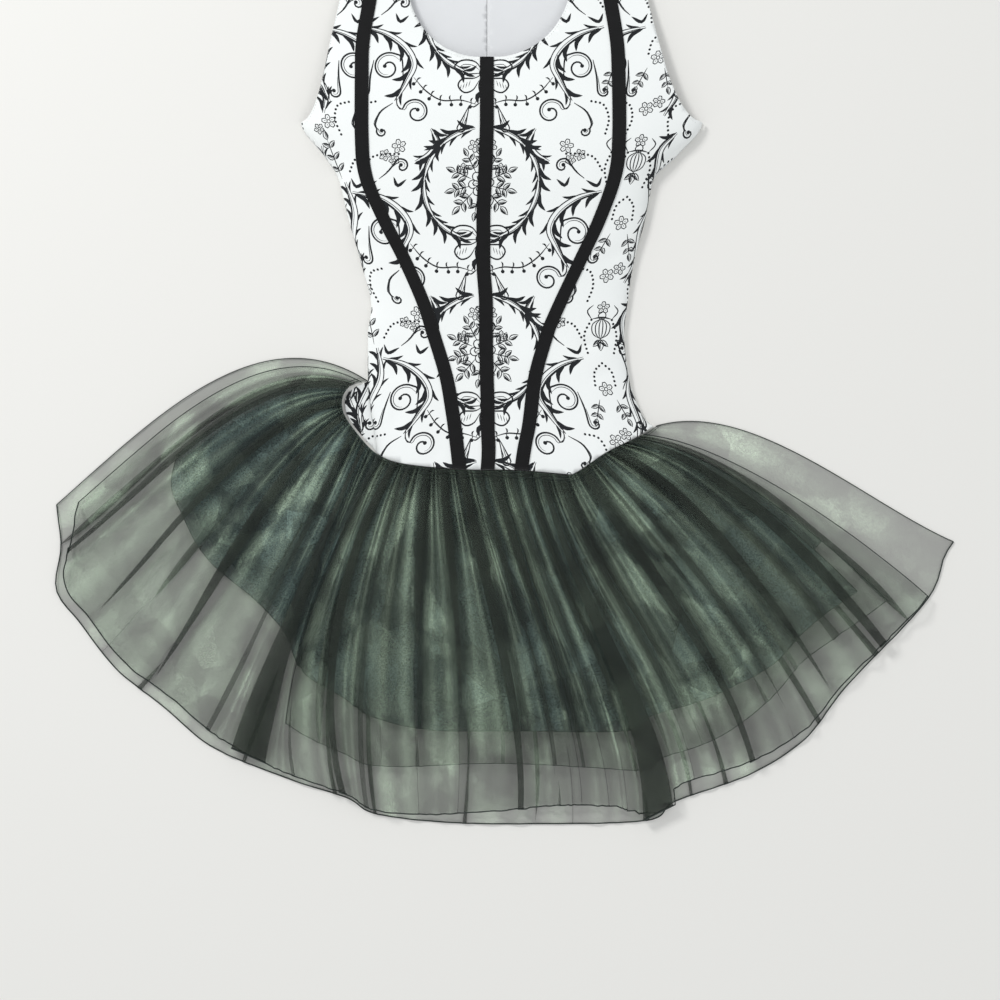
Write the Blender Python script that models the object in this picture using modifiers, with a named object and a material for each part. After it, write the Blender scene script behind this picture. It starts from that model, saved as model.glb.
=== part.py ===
"""Pageant dress laid flat on its back: a fitted printed bodice and a gathered organza skirt.

Units are metres, +Z is up from the surface that the dress lies on, +Y runs towards the neck.
Left and right are as seen from above. The tables are in millimetres, measured from the point
where the centre front seam meets the dropped waist seam.
"""
import bpy
import numpy as np

MM = 0.001

# Cloth
BODICE_WALL = 1.5
SKIRT_WALL = 1.2
RIBBON_WIDTH = 16.0
RIBBON_WALL = 1.0
SEAM_GAP = 0.4
WAIST_GAP = 0.9
LAYER_GAP = 0.7

# Bodice: where the lengthwise lines run, by distance up from the waist seam
BODICE_LINES = {
    "columns": ("y", "side_left", "princess_left", "center", "princess_right", "side_right"),
    "rows": [
        (-10, -127, -30, 0, 38, 216),
        (25, -128, -34, 2, 43, 206),
        (50, -131, -37, 1, 48, 194),
        (64, -134, -39, 1, 50, 180),
        (105, -138, -46, 0, 55, 165),
        (159, -138, -62, -1, 70, 159),
        (188, -134, -71, -1, 82, 162),
        (241, -146, -94, -4, 107, 170),
        (290, -160, -119, -4, 130, 183),
        (338, -172, -139, -2, 147, 193),
        (364, -188, -143, -1, 151, 219),
        (403, -216, -144, 0, 152, 250),
        (476, -226, -144, 0, 151, 259),
        (540, -228, -136, 0, 143, 262),
        (600, -228, -124, 0, 130, 262),
    ],
}
# Height of the front over its rolled sides, by distance up from the waist seam
DOME_HEIGHT = [(-10, 20), (105, 18), (170, 16), (290, 23), (345, 27), (403, 25), (476, 17),
               (600, 1.5)]
DOME_POWER = 2.6
FRONT_RIM = 2.2

# Shares and angles where the panels have their rows and columns
BODICE_ROWS = (0, 0.04, 0.1, 0.18, 0.27, 0.36, 0.46, 0.56, 0.65, 0.73, 0.81, 0.89, 0.95, 1.0)
BACK_ROWS = (0, 0.05, 0.1, 0.14, 0.17, 0.195, 0.21, 0.22, 0.27, 0.36, 0.46, 0.6, 0.73, 0.81, 0.89,
             0.95, 1.0)
NECK_ANGLES = (0, 20, 38, 55, 70, 82, 90)
ARMHOLE_ANGLES = (90, 82, 70, 55, 38, 20, 9)
SIDE_ROLL = (0.97, 0.993, 1.0)
BACK_NECK_ANGLES = (0, 45, 75, 90)
BACK_ARMHOLE_ANGLES = (90, 78, 64, 50, 37, 25, 12, 0)

# Neck, shoulders and armholes
FRONT_NECK_Y = 476
BACK_NECK_Y = 560
SHOULDER_NECK_Y = 600
SHOULDER_SEAM_Y = 596
SHOULDER_END_Y = 588
UNDERARM_Y = 403
NECK_FRACTION = 0.76
STRAP_FRACTION = 0.30

# Dropped waist seam, from the top of the left hip corner round to the right side
WAIST_SEAM = [
    (-138, 104), (-157, 99), (-167, 86), (-166, 67), (-150, 43), (-129, 21), (-99, 8),
    (-30, 1), (38, 0), (88, -5), (104, -2), (137, 20), (175, 39), (196, 52),
]
FRONT_SEAM_START = 5
CURVE_STEPS = 16

# The hip corner's cloth stops just inside the seam
HIP_CORNER_MIDDLE = np.array([-135.0, 68.0])
HIP_CORNER_INSET = 0.91

# Hem of the outer back layer, from its left corner round to its right corner
HEM_LINE = [
    (-499, -39), (-494, -87), (-499, -138), (-471, -177), (-430, -229), (-374, -274),
    (-318, -320), (-232, -356), (-162, -379), (-130, -397), (-50, -407), (50, -409),
    (185, -405), (218, -383), (306, -351), (369, -310), (418, -248), (509, -151),
    (530, -100), (541, -82),
]

# Rays that the gathers follow from seam to hem
RAYS = {
    "columns": ("seam_share", "hem_share", "start_x", "start_y", "end_x", "end_y"),
    "rows": [
        (0.00, 0.000, -380, 250, -330, -290),
        (0.05, 0.045, -350, 90, -300, -230),
        (0.11, 0.125, -300, -100, -260, -230),
        (0.19, 0.244, -150, -320, -230, -330),
        (0.30, 0.355, -190, -330, 80, -330),
        (0.47, 0.515, 70, -400, -50, -420),
        (0.68, 0.665, 90, -400, 50, -400),
        (0.79, 0.748, 210, -340, 110, -400),
        (0.90, 0.870, 290, -60, 240, -300),
        (0.96, 0.948, 310, -30, 230, -200),
        (1.00, 1.000, 330, 100, 300, -130),
    ],
}

# Skirt layers, lowest first. Start and end are shares along the waist seam; wave is the gathers'
# height at WAVE_ROWS; rise is how much of SEAM_RISE the layer follows; hem pairs a share along
# the seam with how far down its ray the layer reaches.
LAYERS = {
    "skirt_outer_back": {
        "start": 0.0, "end": 1.0, "gathers": 28, "samples": 2, "phase": 0.3,
        "wave": (0.0, 1.4, 2.0), "rise": 0.0,
        "hem": [(0, 1.0), (1, 1.0)],
    },
    "skirt_lining_back": {
        "start": 0.06, "end": 0.94, "gathers": 18, "samples": 2, "phase": 1.1,
        "wave": (0.0, 1.2, 1.6), "rise": 0.0,
        "hem": [(0, 0.52), (0.3, 0.60), (0.5, 0.70), (0.8, 0.72), (1, 0.60)],
    },
    "skirt_lining_front": {
        "start": 0.05, "end": 0.93, "gathers": 22, "samples": 2, "phase": 2.0,
        "wave": (0.0, 1.8, 2.2), "rise": 0.9,
        "hem": [(0, 0.56), (0.14, 0.59), (0.22, 0.60), (0.30, 0.66), (0.42, 0.74), (0.62, 0.74),
                (0.78, 0.75), (0.87, 0.80), (1, 0.84)],
    },
    "skirt_mid_front": {
        "start": 0.27, "end": 0.94, "gathers": 20, "samples": 2, "phase": 0.7,
        "wave": (0.0, 2.0, 2.6), "rise": 0.95,
        "hem": [(0, 0.82), (0.27, 0.82), (0.33, 0.85), (0.45, 0.83), (0.58, 0.84), (0.72, 0.87),
                (0.84, 0.84), (0.9, 0.88), (1, 0.92)],
    },
    "skirt_outer_front": {
        "start": 0.015, "end": 0.96, "gathers": 30, "samples": 3, "phase": 1.6,
        "wave": (3.4, 5.5, 6.0), "rise": 1.0,
        "hem": [(0, 0.91), (0.06, 0.965), (0.2, 0.963), (0.26, 0.978), (0.36, 0.985), (0.45, 0.965),
                (0.55, 0.945), (0.60, 0.95), (0.65, 0.985), (0.70, 0.955), (0.8, 0.968),
                (0.87, 0.985), (1, 0.99)],
    },
}
WAVE_ROWS = (0.0, 0.25, 0.8)
SKIRT_ROWS = (0.0, 0.05, 0.12, 0.22, 0.34, 0.48, 0.62, 0.75, 0.87, 1.0)
SEAM_RISE = [(0, 0), (0.2, 0), (0.3, 5), (0.4, 11), (0.55, 13.3), (0.72, 13.4), (0.85, 11), (0.94, 5),
             (1, 0)]
RISE_ROWS = 0.45

# Gathers vary from one to the next: in height, once they are this far down, and in width
GATHER_HEIGHT_SPREAD = 2.4
GATHER_HEIGHT_UNEVEN = 0.4
GATHER_UNEVEN_ROWS = 0.3
GATHER_WIDTH_SPREAD = 1.7
GATHER_WIDTH_UNEVEN = 0.35

# A layer above comes down past the hem and the side edges of the layer below
COVER_PAST_HEM = 0.065
COVER_SLOPE = 0.10
COVER_PAST_SIDE = 0.018
SIDE_SLOPE = 0.05

# Folds where the outer front layer doubles over itself, widening towards the hem
FOLDS = [
    {"seam": 0.215, "hem": 0.235, "start_row": 0.30, "full_row": 0.95, "width": 42, "gathers_before": 7},
    {"seam": 0.305, "hem": 0.325, "start_row": 0.20, "full_row": 0.70, "width": 7, "gathers_before": 3},
    {"seam": 0.475, "hem": 0.490, "start_row": 0.15, "full_row": 0.60, "width": 9, "gathers_before": 5},
    {"seam": 0.680, "hem": 0.655, "start_row": 0.30, "full_row": 0.95, "width": 38, "gathers_before": 6},
    {"seam": 0.785, "hem": 0.780, "start_row": 0.10, "full_row": 0.60, "width": 10, "gathers_before": 3},
]
GATHERS_AFTER_FOLDS = 6
FOLD_RADIUS = 1.3
FOLD_TURN_STEPS = 4
FOLD_LEAD = 8.0
FOLD_MARGIN = 4.0
FOLD_RUN_OUT = 22.0
FOLD_RUN_OUT_ROWS = 0.3
FOLD_LIFT_ROWS = 0.15
FOLD_TAIL = 0.45
FOLD_ENTRY = 2.0
FOLD_EXIT = 3.0
FOLD_HEM_ROW = 0.97
SHARE_STEP = 0.002

# Middle of the whole outline, which the part's origin lies under
FRAME_CENTER = np.array([20.97, 95.45, 0.0])

WHITE_CLOTH = ((0.83, 0.84, 0.86), 0.8)
BLACK_VELVET = ((0.012, 0.012, 0.013), 0.9)
COLORS = {
    "bodice_front_center_left": WHITE_CLOTH,
    "bodice_front_center_right": WHITE_CLOTH,
    "bodice_side_front_left": WHITE_CLOTH,
    "bodice_side_front_right": WHITE_CLOTH,
    "bodice_back_left": WHITE_CLOTH,
    "bodice_back_right": WHITE_CLOTH,
    "trim_left": BLACK_VELVET,
    "trim_center": BLACK_VELVET,
    "trim_right": BLACK_VELVET,
    "skirt_outer_front": ((0.16, 0.19, 0.17), 0.6),
    "skirt_mid_front": ((0.08, 0.10, 0.09), 0.6),
    "skirt_lining_front": ((0.015, 0.022, 0.02), 0.65),
    "skirt_lining_back": ((0.015, 0.022, 0.02), 0.65),
    "skirt_outer_back": ((0.16, 0.19, 0.17), 0.6),
}


def column(table, name):
    """One named column of a table as an array."""
    index = table["columns"].index(name)
    return np.array([row[index] for row in table["rows"]], dtype=float)


def ease(value):
    """Smooth step from 0 to 1."""
    value = np.clip(value, 0.0, 1.0)
    return value * value * (3.0 - 2.0 * value)


def monotone(keys, values, at):
    """Smooth curve through table values that never overshoots them."""
    keys = np.asarray(keys, dtype=float)
    values = np.asarray(values, dtype=float)
    at = np.clip(at, keys[0], keys[-1])
    step = np.diff(keys)
    slope = np.diff(values) / step
    tangent = np.concatenate(([slope[0]], np.zeros(len(keys) - 2), [slope[-1]]))
    for i in range(1, len(keys) - 1):
        if slope[i - 1] * slope[i] > 0:
            tangent[i] = (step[i - 1] + step[i]) / (step[i - 1] / slope[i - 1] + step[i] / slope[i])
    i = np.clip(np.searchsorted(keys, at, side="right") - 1, 0, len(keys) - 2)
    t = (at - keys[i]) / step[i]
    rise = t * t * (3 - 2 * t)
    lead = (t ** 3 - 2 * t ** 2 + t) * step[i] * tangent[i]
    trail = (t ** 3 - t ** 2) * step[i] * tangent[i + 1]
    return values[i] * (1 - rise) + lead + values[i + 1] * rise + trail


def table_curve(pairs, at):
    """Smooth curve through a list of key and value pairs."""
    return monotone([pair[0] for pair in pairs], [pair[1] for pair in pairs], at)


def smooth_outline(points):
    """Dense plan curve that passes smoothly through the outline's points."""
    points = np.array(points, dtype=float)
    before = np.vstack((2 * points[0] - points[1], points[:-2]))
    after = np.vstack((points[2:], 2 * points[-1] - points[-2]))
    dense = []
    for a, b, c, d in zip(before, points[:-1], points[1:], after):
        for t in np.arange(CURVE_STEPS) / CURVE_STEPS:
            bend = 2 * a - 5 * b + 4 * c - d
            turn = 3 * b - 3 * c + d - a
            dense.append(0.5 * (2 * b + (c - a) * t + bend * t * t + turn * t ** 3))
    dense.append(points[-1])
    return np.array(dense)


def along(curve, share):
    """Points at given shares of a plan curve's length."""
    run = np.concatenate(([0.0], np.cumsum(np.hypot(*np.diff(curve, axis=0).T))))
    run /= run[-1]
    return np.stack((np.interp(share, run, curve[:, 0]), np.interp(share, run, curve[:, 1])), axis=-1)


SEAM_CURVE = smooth_outline(WAIST_SEAM)
HEM_CURVE = smooth_outline(HEM_LINE)
FRONT_SEAM_CURVE = SEAM_CURVE[FRONT_SEAM_START * CURVE_STEPS:]
HIP_CORNER_CURVE = SEAM_CURVE[FRONT_SEAM_START * CURVE_STEPS::-1]


def bodice_line(name, y):
    """Plan X of one of the bodice's lengthwise lines at height Y."""
    return monotone(column(BODICE_LINES, "y"), column(BODICE_LINES, name), y)


def dome(x, y):
    """Height of the front's outer face, which rolls down to the side seams."""
    left = bodice_line("side_left", y)
    right = bodice_line("side_right", y)
    across = np.clip(np.abs(2 * x - left - right) / (right - left), 0.0, 1.0)
    crown = (1 - across ** DOME_POWER) ** (1 / DOME_POWER)
    return FRONT_RIM + table_curve(DOME_HEIGHT, y) * crown


def waist_seam_y(x):
    """Y of the front's waist seam at plan X."""
    return np.interp(x, FRONT_SEAM_CURVE[:, 0], FRONT_SEAM_CURVE[:, 1])


def scoop(low, high, share):
    """Neckline or armhole: flat at its low point, upright where it meets the strap."""
    return low + (high - low) * (1 - np.sqrt(np.clip(1 - share * share, 0.0, 1.0)))


def scoop_share(degrees):
    """Shares along a scooped edge, close together where the edge turns upright."""
    return np.sin(np.radians(degrees))


def side_corner(y):
    """Plan X of the left back's hip corner, which shows past the front."""
    edge_x, edge_y = (HIP_CORNER_MIDDLE + (HIP_CORNER_CURVE - HIP_CORNER_MIDDLE) * HIP_CORNER_INSET).T
    inside = (y > edge_y[0]) & (y < edge_y[-1])
    return np.where(inside, np.interp(y, edge_y, edge_x), np.inf)


def panel_points(columns, rows, height):
    """Grid of points from plan columns, each a pair of X as a function of Y and a top Y."""
    grid = np.zeros((len(rows), len(columns), 3))
    for j, (plan_x, top) in enumerate(columns):
        low = waist_seam_y(plan_x(waist_seam_y(plan_x(0.0))))
        low = waist_seam_y(plan_x(low)) + WAIST_GAP
        y = low + (top - low) * rows
        x = plan_x(y)
        grid[:, j] = np.stack((x, y, height(x, y)), axis=-1)
    return grid


def between(near, far, share, near_inset, far_inset, sign):
    """Plan X that runs between two of the bodice's lines, inset from each."""
    def plan_x(y):
        start = bodice_line(near, y) + sign * near_inset
        end = bodice_line(far, y) - sign * far_inset
        return start + (end - start) * share
    return plan_x


def center_columns(half, sign):
    """Columns of a centre front panel, with one at each ribbon's edge."""
    far = "princess_" + half
    inset = RIBBON_WIDTH / 2
    gap = SEAM_GAP / 2
    columns = [(between("center", far, 0.0, gap, gap, sign), FRONT_NECK_Y)]
    for share in scoop_share(NECK_ANGLES):
        line = between("center", far, NECK_FRACTION * share, inset, inset, sign)
        columns.append((line, scoop(FRONT_NECK_Y, SHOULDER_NECK_Y, share)))
    columns.append((between("center", far, 1.0, inset, inset, sign), SHOULDER_SEAM_Y + 1))
    columns.append((between("center", far, 1.0, gap, gap, sign), SHOULDER_SEAM_Y))
    return columns


def side_columns(half, sign):
    """Columns of a side front panel, from the princess seam to the rolled side."""
    near = "princess_" + half
    far = "side_" + half
    columns = [
        (between(near, far, 0.0, SEAM_GAP / 2, 0.0, sign), SHOULDER_SEAM_Y),
        (between(near, far, 0.0, RIBBON_WIDTH / 2, 0.0, sign), SHOULDER_SEAM_Y - 1),
    ]
    shares = 1 - (1 - STRAP_FRACTION) * scoop_share(ARMHOLE_ANGLES)
    for share in np.concatenate((shares, SIDE_ROLL)):
        top = scoop(UNDERARM_Y, SHOULDER_END_Y, (1 - share) / (1 - STRAP_FRACTION))
        columns.append((between(near, far, share, RIBBON_WIDTH / 2, 0.0, sign), top))
    return columns


def back_columns(half, sign):
    """Columns of a back panel, which lies flat under the front."""
    princess = "princess_" + half
    side = "side_" + half
    columns = []
    for share in scoop_share(BACK_NECK_ANGLES):
        line = between("center", princess, NECK_FRACTION * share, SEAM_GAP / 2, 0.0, sign)
        columns.append((line, scoop(BACK_NECK_Y, SHOULDER_NECK_Y, share)))
    columns.append((between("center", princess, 1.0, 0.0, 0.0, sign), SHOULDER_SEAM_Y))
    for share in 1 - (1 - STRAP_FRACTION) * scoop_share(BACK_ARMHOLE_ANGLES):
        top = scoop(UNDERARM_Y, SHOULDER_END_Y, (1 - share) / (1 - STRAP_FRACTION))
        columns.append((between(princess, side, share, 0.0, 0.0, sign), top))
    return columns


def with_hip_corner(columns):
    """The left back's columns, with its side led round the hip corner."""
    side, top = columns[-1]

    def corner_x(y):
        return np.minimum(side(y), side_corner(y))
    return columns[:-1] + [(corner_x, top)]


def fan(share, row):
    """Plan point on a ray of the skirt: share along the seam, row from seam to hem."""
    share = np.asarray(share, dtype=float)
    row = np.asarray(row, dtype=float)[..., None]
    seam_share = column(RAYS, "seam_share")
    ray = {name: monotone(seam_share, column(RAYS, name), share) for name in RAYS["columns"][1:]}
    start = along(SEAM_CURVE, share)
    end = along(HEM_CURVE, ray["hem_share"])
    leave = np.stack((ray["start_x"], ray["start_y"]), axis=-1)
    arrive = np.stack((ray["end_x"], ray["end_y"]), axis=-1)
    blend = row * row * (3 - 2 * row)
    lead = row ** 3 - 2 * row ** 2 + row
    trail = row ** 3 - row ** 2
    return start * (1 - blend) + leave * lead + end * blend + arrive * trail


def hem_row(layer, share):
    """How far down its ray a layer's hem lies."""
    return table_curve(layer["hem"], share)


def wave_height(layer, row):
    """Height of a layer's gathers between their valleys and crests."""
    return monotone(WAVE_ROWS, layer["wave"], row)


def cover(layer, share, row):
    """1 over a layer, falling to 0 past its hem and its side edges."""
    past_hem = ease((row - hem_row(layer, share) - COVER_PAST_HEM) / COVER_SLOPE)
    past_left = ease((layer["start"] - COVER_PAST_SIDE - share) / SIDE_SLOPE)
    past_right = ease((share - layer["end"] - COVER_PAST_SIDE) / SIDE_SLOPE)
    return (1 - past_hem) * (1 - past_left) * (1 - past_right)


def stack_height(name, share, row):
    """Lowest height of a layer's underside, clear of every layer below it."""
    height = np.zeros(np.broadcast(share, row).shape)
    for lower in LAYERS:
        if lower == name:
            break
        room = SKIRT_WALL + LAYER_GAP + wave_height(LAYERS[lower], row)
        height = height + room * cover(LAYERS[lower], share, row)
    rise = LAYERS[name]["rise"] * table_curve(SEAM_RISE, share)
    return height + rise * (1 - ease(row / RISE_ROWS))


def gather_wave(layer, phase, row):
    """Height of the gathers at a phase counted in whole gathers."""
    number = np.floor(phase)
    swing = np.sin(GATHER_HEIGHT_SPREAD * number + layer["phase"])
    uneven = 1 - GATHER_HEIGHT_UNEVEN + GATHER_HEIGHT_UNEVEN * swing
    size = 1 + (uneven - 1) * ease(row / GATHER_UNEVEN_ROWS)
    return wave_height(layer, row) * size * (0.5 - 0.5 * np.cos(2 * np.pi * phase))


def gather_steps(layer, count, first=0):
    """Uneven widths of a run of gathers, as shares of the run with their phases."""
    number = np.arange(first, first + count)
    widths = 1 + GATHER_WIDTH_UNEVEN * np.sin(GATHER_WIDTH_SPREAD * number + layer["phase"])
    edges = np.concatenate(([0.0], np.cumsum(widths))) / widths.sum()
    phases = np.arange(count * layer["samples"] + 1) / layer["samples"]
    return np.interp(phases, np.arange(count + 1), edges), phases


def plain_layer(name):
    """Grid of a layer's underside, gathered but not folded over."""
    layer = LAYERS[name]
    steps, phases = gather_steps(layer, layer["gathers"])
    share = layer["start"] + (layer["end"] - layer["start"]) * steps
    rows = np.array(SKIRT_ROWS)[:, None] * hem_row(layer, share)[None, :]
    share = np.broadcast_to(share, rows.shape)
    height = stack_height(name, share, rows) + gather_wave(layer, phases[None, :], rows)
    return np.concatenate((fan(share, rows), height[..., None]), axis=-1)


def fold_section(width, lift):
    """Cross and height offsets of a sheet that doubles over itself in an S."""
    angle = np.radians(np.linspace(-90, 90, FOLD_TURN_STEPS + 1))
    turn = FOLD_RADIUS * np.cos(angle)
    climb = FOLD_RADIUS * (1 + np.sin(angle))
    cross = np.concatenate((max(width, 0) / 2 + turn, -max(width, 0) / 2 - turn))
    height = np.concatenate((climb, 2 * FOLD_RADIUS + climb))
    flat = np.linspace(-FOLD_LEAD / 2, FOLD_LEAD / 2, len(cross))
    slope = 4 * FOLD_RADIUS * ease(np.linspace(0, 1, len(cross)))
    closed = np.clip((width + FOLD_LEAD) / FOLD_LEAD, 0, 1)
    cross = flat + (cross - flat) * closed
    height = slope + (height - slope) * closed
    before = cross[0] - FOLD_ENTRY - FOLD_TAIL * max(width, 0)
    past = cross.max() + FOLD_EXIT
    cross = np.concatenate(([before], cross, [past]))
    return cross, np.concatenate(([0.0], height, [4 * FOLD_RADIUS])) * lift


def gathered_run(name, level, start, end, count, done):
    """Gathered points between two shares of one row, after gathers that are already done."""
    layer = LAYERS[name]
    steps, phases = gather_steps(layer, count, done)
    run = start + (end - start) * steps
    rows = level * hem_row(layer, run)
    height = stack_height(name, run, rows) + gather_wave(layer, phases + done, rows)
    return np.concatenate((fan(run, rows), height[:, None]), axis=-1)


def folded_row(name, level):
    """One row of the outer front layer, from its left edge across every fold."""
    layer = LAYERS[name]
    points = []
    share = layer["start"]
    gathers_done = 0
    nominal = level * FOLD_HEM_ROW
    for fold in FOLDS:
        middle = fold["seam"] + (fold["hem"] - fold["seam"]) * nominal
        nearby = fan(middle + SHARE_STEP, nominal) - fan(middle - SHARE_STEP, nominal)
        scale = np.linalg.norm(nearby) / (2 * SHARE_STEP)
        opening = ease((nominal - fold["start_row"]) / (fold["full_row"] - fold["start_row"]))
        spread = (fold["width"] + FOLD_LEAD) * opening - FOLD_LEAD
        reach = max(spread, 0) / 2 + FOLD_LEAD / 2
        end = middle - (reach + FOLD_MARGIN) / scale
        points.append(gathered_run(name, level, share, end, fold["gathers_before"], gathers_done))
        gathers_done += fold["gathers_before"]
        lift = ease((nominal - fold["start_row"] + FOLD_LIFT_ROWS) / FOLD_LIFT_ROWS)
        cross, climb = fold_section(spread, lift)
        row = level * hem_row(layer, middle)
        aside = fan(middle + SHARE_STEP, row) - fan(middle - SHARE_STEP, row)
        plan = fan(middle, row) + cross[:, None] * aside / np.linalg.norm(aside)
        height = stack_height(name, middle + cross / scale, row) + climb
        points.append(np.concatenate((plan, height[:, None]), axis=-1))
        run_out = FOLD_MARGIN + FOLD_RUN_OUT * ease(nominal / FOLD_RUN_OUT_ROWS)
        share = middle + (reach + run_out) / scale
    points.append(gathered_run(name, level, share, layer["end"], GATHERS_AFTER_FOLDS, gathers_done))
    return np.concatenate(points)


def ribbon_points(left_edge, seam, right_edge):
    """Ribbon grid from the panels' own points, moved out from their faces."""
    grid = np.stack((left_edge, seam, right_edge), axis=1)
    x, y = grid[..., 0], grid[..., 1]
    slope_x = (dome(x + 0.5, y) - dome(x - 0.5, y))
    slope_y = (dome(x, y + 0.5) - dome(x, y - 0.5))
    normal = np.stack((-slope_x, -slope_y, np.ones_like(x)), axis=-1)
    normal /= np.linalg.norm(normal, axis=-1, keepdims=True)
    return grid + normal * SEAM_GAP


def plain_material(name, color, roughness):
    """Principled material of one colour."""
    material = bpy.data.materials.new(name)
    material.use_nodes = True
    shader = material.node_tree.nodes["Principled BSDF"]
    shader.inputs["Base Color"].default_value = (*color, 1.0)
    shader.inputs["Roughness"].default_value = roughness
    shader.inputs["Metallic"].default_value = 0.0
    return material


def sheet_object(name, points, wall, side):
    """Open sheet through a grid of points, thickened into one closed wall.

    side is 1 to thicken upwards from the points and -1 to thicken downwards.
    """
    rows, columns = points.shape[:2]
    across = points[0, -1, :2] - points[0, 0, :2]
    down = points[-1, 0, :2] - points[0, 0, :2]
    if across[0] * down[1] - across[1] * down[0] < 0:
        points = points[:, ::-1]
    faces = []
    for i in range(rows - 1):
        for j in range(columns - 1):
            first = i * columns + j
            faces.append((first, first + 1, first + columns + 1, first + columns))
    mesh = bpy.data.meshes.new(name)
    mesh.from_pydata(((points.reshape(-1, 3) - FRAME_CENTER) * MM).tolist(), [], faces)
    mesh.shade_smooth()
    color, roughness = COLORS[name]
    mesh.materials.append(plain_material(name, color, roughness))
    piece = bpy.data.objects.new(name, mesh)
    solid = piece.modifiers.new("wall", "SOLIDIFY")
    solid.thickness = wall * MM
    solid.offset = side
    return piece


def flat_height(x, y):
    """The back lies on the surface."""
    return np.zeros_like(x)


def build_bodice():
    """Front panels, ribbons and back panels."""
    rows = np.array(BODICE_ROWS)
    grids = {}
    for half, sign in (("left", -1), ("right", 1)):
        grids["center_" + half] = panel_points(center_columns(half, sign), rows, dome)
        grids["side_" + half] = panel_points(side_columns(half, sign), rows, dome)
    pieces = []
    for half in ("left", "right"):
        center, side = grids["center_" + half], grids["side_" + half]
        pieces.append(sheet_object("bodice_front_center_" + half, center, BODICE_WALL, -1))
        pieces.append(sheet_object("bodice_side_front_" + half, side, BODICE_WALL, -1))
        seam = (center[:, -1] + side[:, 0]) / 2
        ribbon = ribbon_points(center[:, -2], seam, side[:, 1])
        pieces.append(sheet_object("trim_" + half, ribbon, RIBBON_WALL, 1))
    left, right = grids["center_left"], grids["center_right"]
    ribbon = ribbon_points(left[:, 1], (left[:, 0] + right[:, 0]) / 2, right[:, 1])
    pieces.append(sheet_object("trim_center", ribbon, RIBBON_WALL, 1))
    back_rows = np.array(BACK_ROWS)
    back_left = panel_points(with_hip_corner(back_columns("left", -1)), back_rows, flat_height)
    back_right = panel_points(back_columns("right", 1), back_rows, flat_height)
    pieces.append(sheet_object("bodice_back_left", back_left, BODICE_WALL, 1))
    pieces.append(sheet_object("bodice_back_right", back_right, BODICE_WALL, 1))
    return pieces


def build_skirt():
    """Every layer of the skirt, lowest first."""
    pieces = []
    for name in LAYERS:
        if name == "skirt_outer_front":
            points = np.array([folded_row(name, level) for level in SKIRT_ROWS])
        else:
            points = plain_layer(name)
        pieces.append(sheet_object(name, points, SKIRT_WALL, 1))
    return pieces


def main():
    """Clear the scene and build the dress in its own collection."""
    for item in list(bpy.data.objects):
        bpy.data.objects.remove(item, do_unlink=True)
    dress = bpy.data.collections.new("pageant_dress")
    bpy.context.scene.collection.children.link(dress)
    for piece in build_bodice() + build_skirt():
        dress.objects.link(piece)


main()
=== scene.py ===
"""Looks of the pageant dress: printed bodice, velvet ribbons and sheer gathered skirt.

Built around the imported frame. Tables are in millimetres from the point where the centre front
seam meets the dropped waist seam; FRAME_CENTER moves them into the frame.
"""
import math
import bpy
import numpy as np
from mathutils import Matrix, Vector
from mathutils.geometry import delaunay_2d_cdt


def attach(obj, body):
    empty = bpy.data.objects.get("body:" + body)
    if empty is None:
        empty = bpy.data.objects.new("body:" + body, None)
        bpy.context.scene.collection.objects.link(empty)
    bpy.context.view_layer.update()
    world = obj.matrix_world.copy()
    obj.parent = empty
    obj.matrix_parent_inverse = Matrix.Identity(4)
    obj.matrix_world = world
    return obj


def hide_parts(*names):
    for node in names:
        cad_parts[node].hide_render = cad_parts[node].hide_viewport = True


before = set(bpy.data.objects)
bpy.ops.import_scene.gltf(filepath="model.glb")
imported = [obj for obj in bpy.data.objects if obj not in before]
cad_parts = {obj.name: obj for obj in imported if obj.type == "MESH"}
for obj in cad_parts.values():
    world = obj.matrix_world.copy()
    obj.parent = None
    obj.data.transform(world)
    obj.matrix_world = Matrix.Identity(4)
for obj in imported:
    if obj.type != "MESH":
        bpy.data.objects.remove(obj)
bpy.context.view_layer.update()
MM = 0.001

# Cloth
SKIRT_WALL = 1.2
RIBBON_WIDTH = 16.0
SEAM_GAP = 0.4
WAIST_GAP = 0.9
LAYER_GAP = 0.7

# Bodice: where the lengthwise lines run, by distance up from the waist seam
BODICE_LINES = {
    "columns": ("y", "side_left", "princess_left", "center", "princess_right", "side_right"),
    "rows": [
        (-10, -127, -30, 0, 38, 216),
        (25, -128, -34, 2, 43, 206),
        (50, -131, -37, 1, 48, 194),
        (64, -134, -39, 1, 50, 180),
        (105, -138, -46, 0, 55, 165),
        (159, -138, -62, -1, 70, 159),
        (188, -134, -71, -1, 82, 162),
        (241, -146, -94, -4, 107, 170),
        (290, -160, -119, -4, 130, 183),
        (338, -172, -139, -2, 147, 193),
        (364, -188, -143, -1, 151, 219),
        (403, -216, -144, 0, 152, 250),
        (476, -226, -144, 0, 151, 259),
        (540, -228, -136, 0, 143, 262),
        (600, -228, -124, 0, 130, 262),
    ],
}
# Height of the front over its rolled sides, by distance up from the waist seam
DOME_HEIGHT = [(-10, 20), (105, 18), (170, 16), (290, 23), (345, 27), (403, 25), (476, 17),
               (600, 1.5)]
DOME_POWER = 2.6
FRONT_RIM = 2.2

# Shares and angles where the panels have their rows and columns
NECK_ANGLES = np.linspace(0, 90, 25)
ARMHOLE_ANGLES = np.linspace(90, 9, 25)
SIDE_ROLL = (0.97, 0.985, 0.995, 1.0)
BACK_NECK_ANGLES = np.linspace(0, 90, 19)
BACK_ARMHOLE_ANGLES = np.linspace(90, 0, 25)

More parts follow.
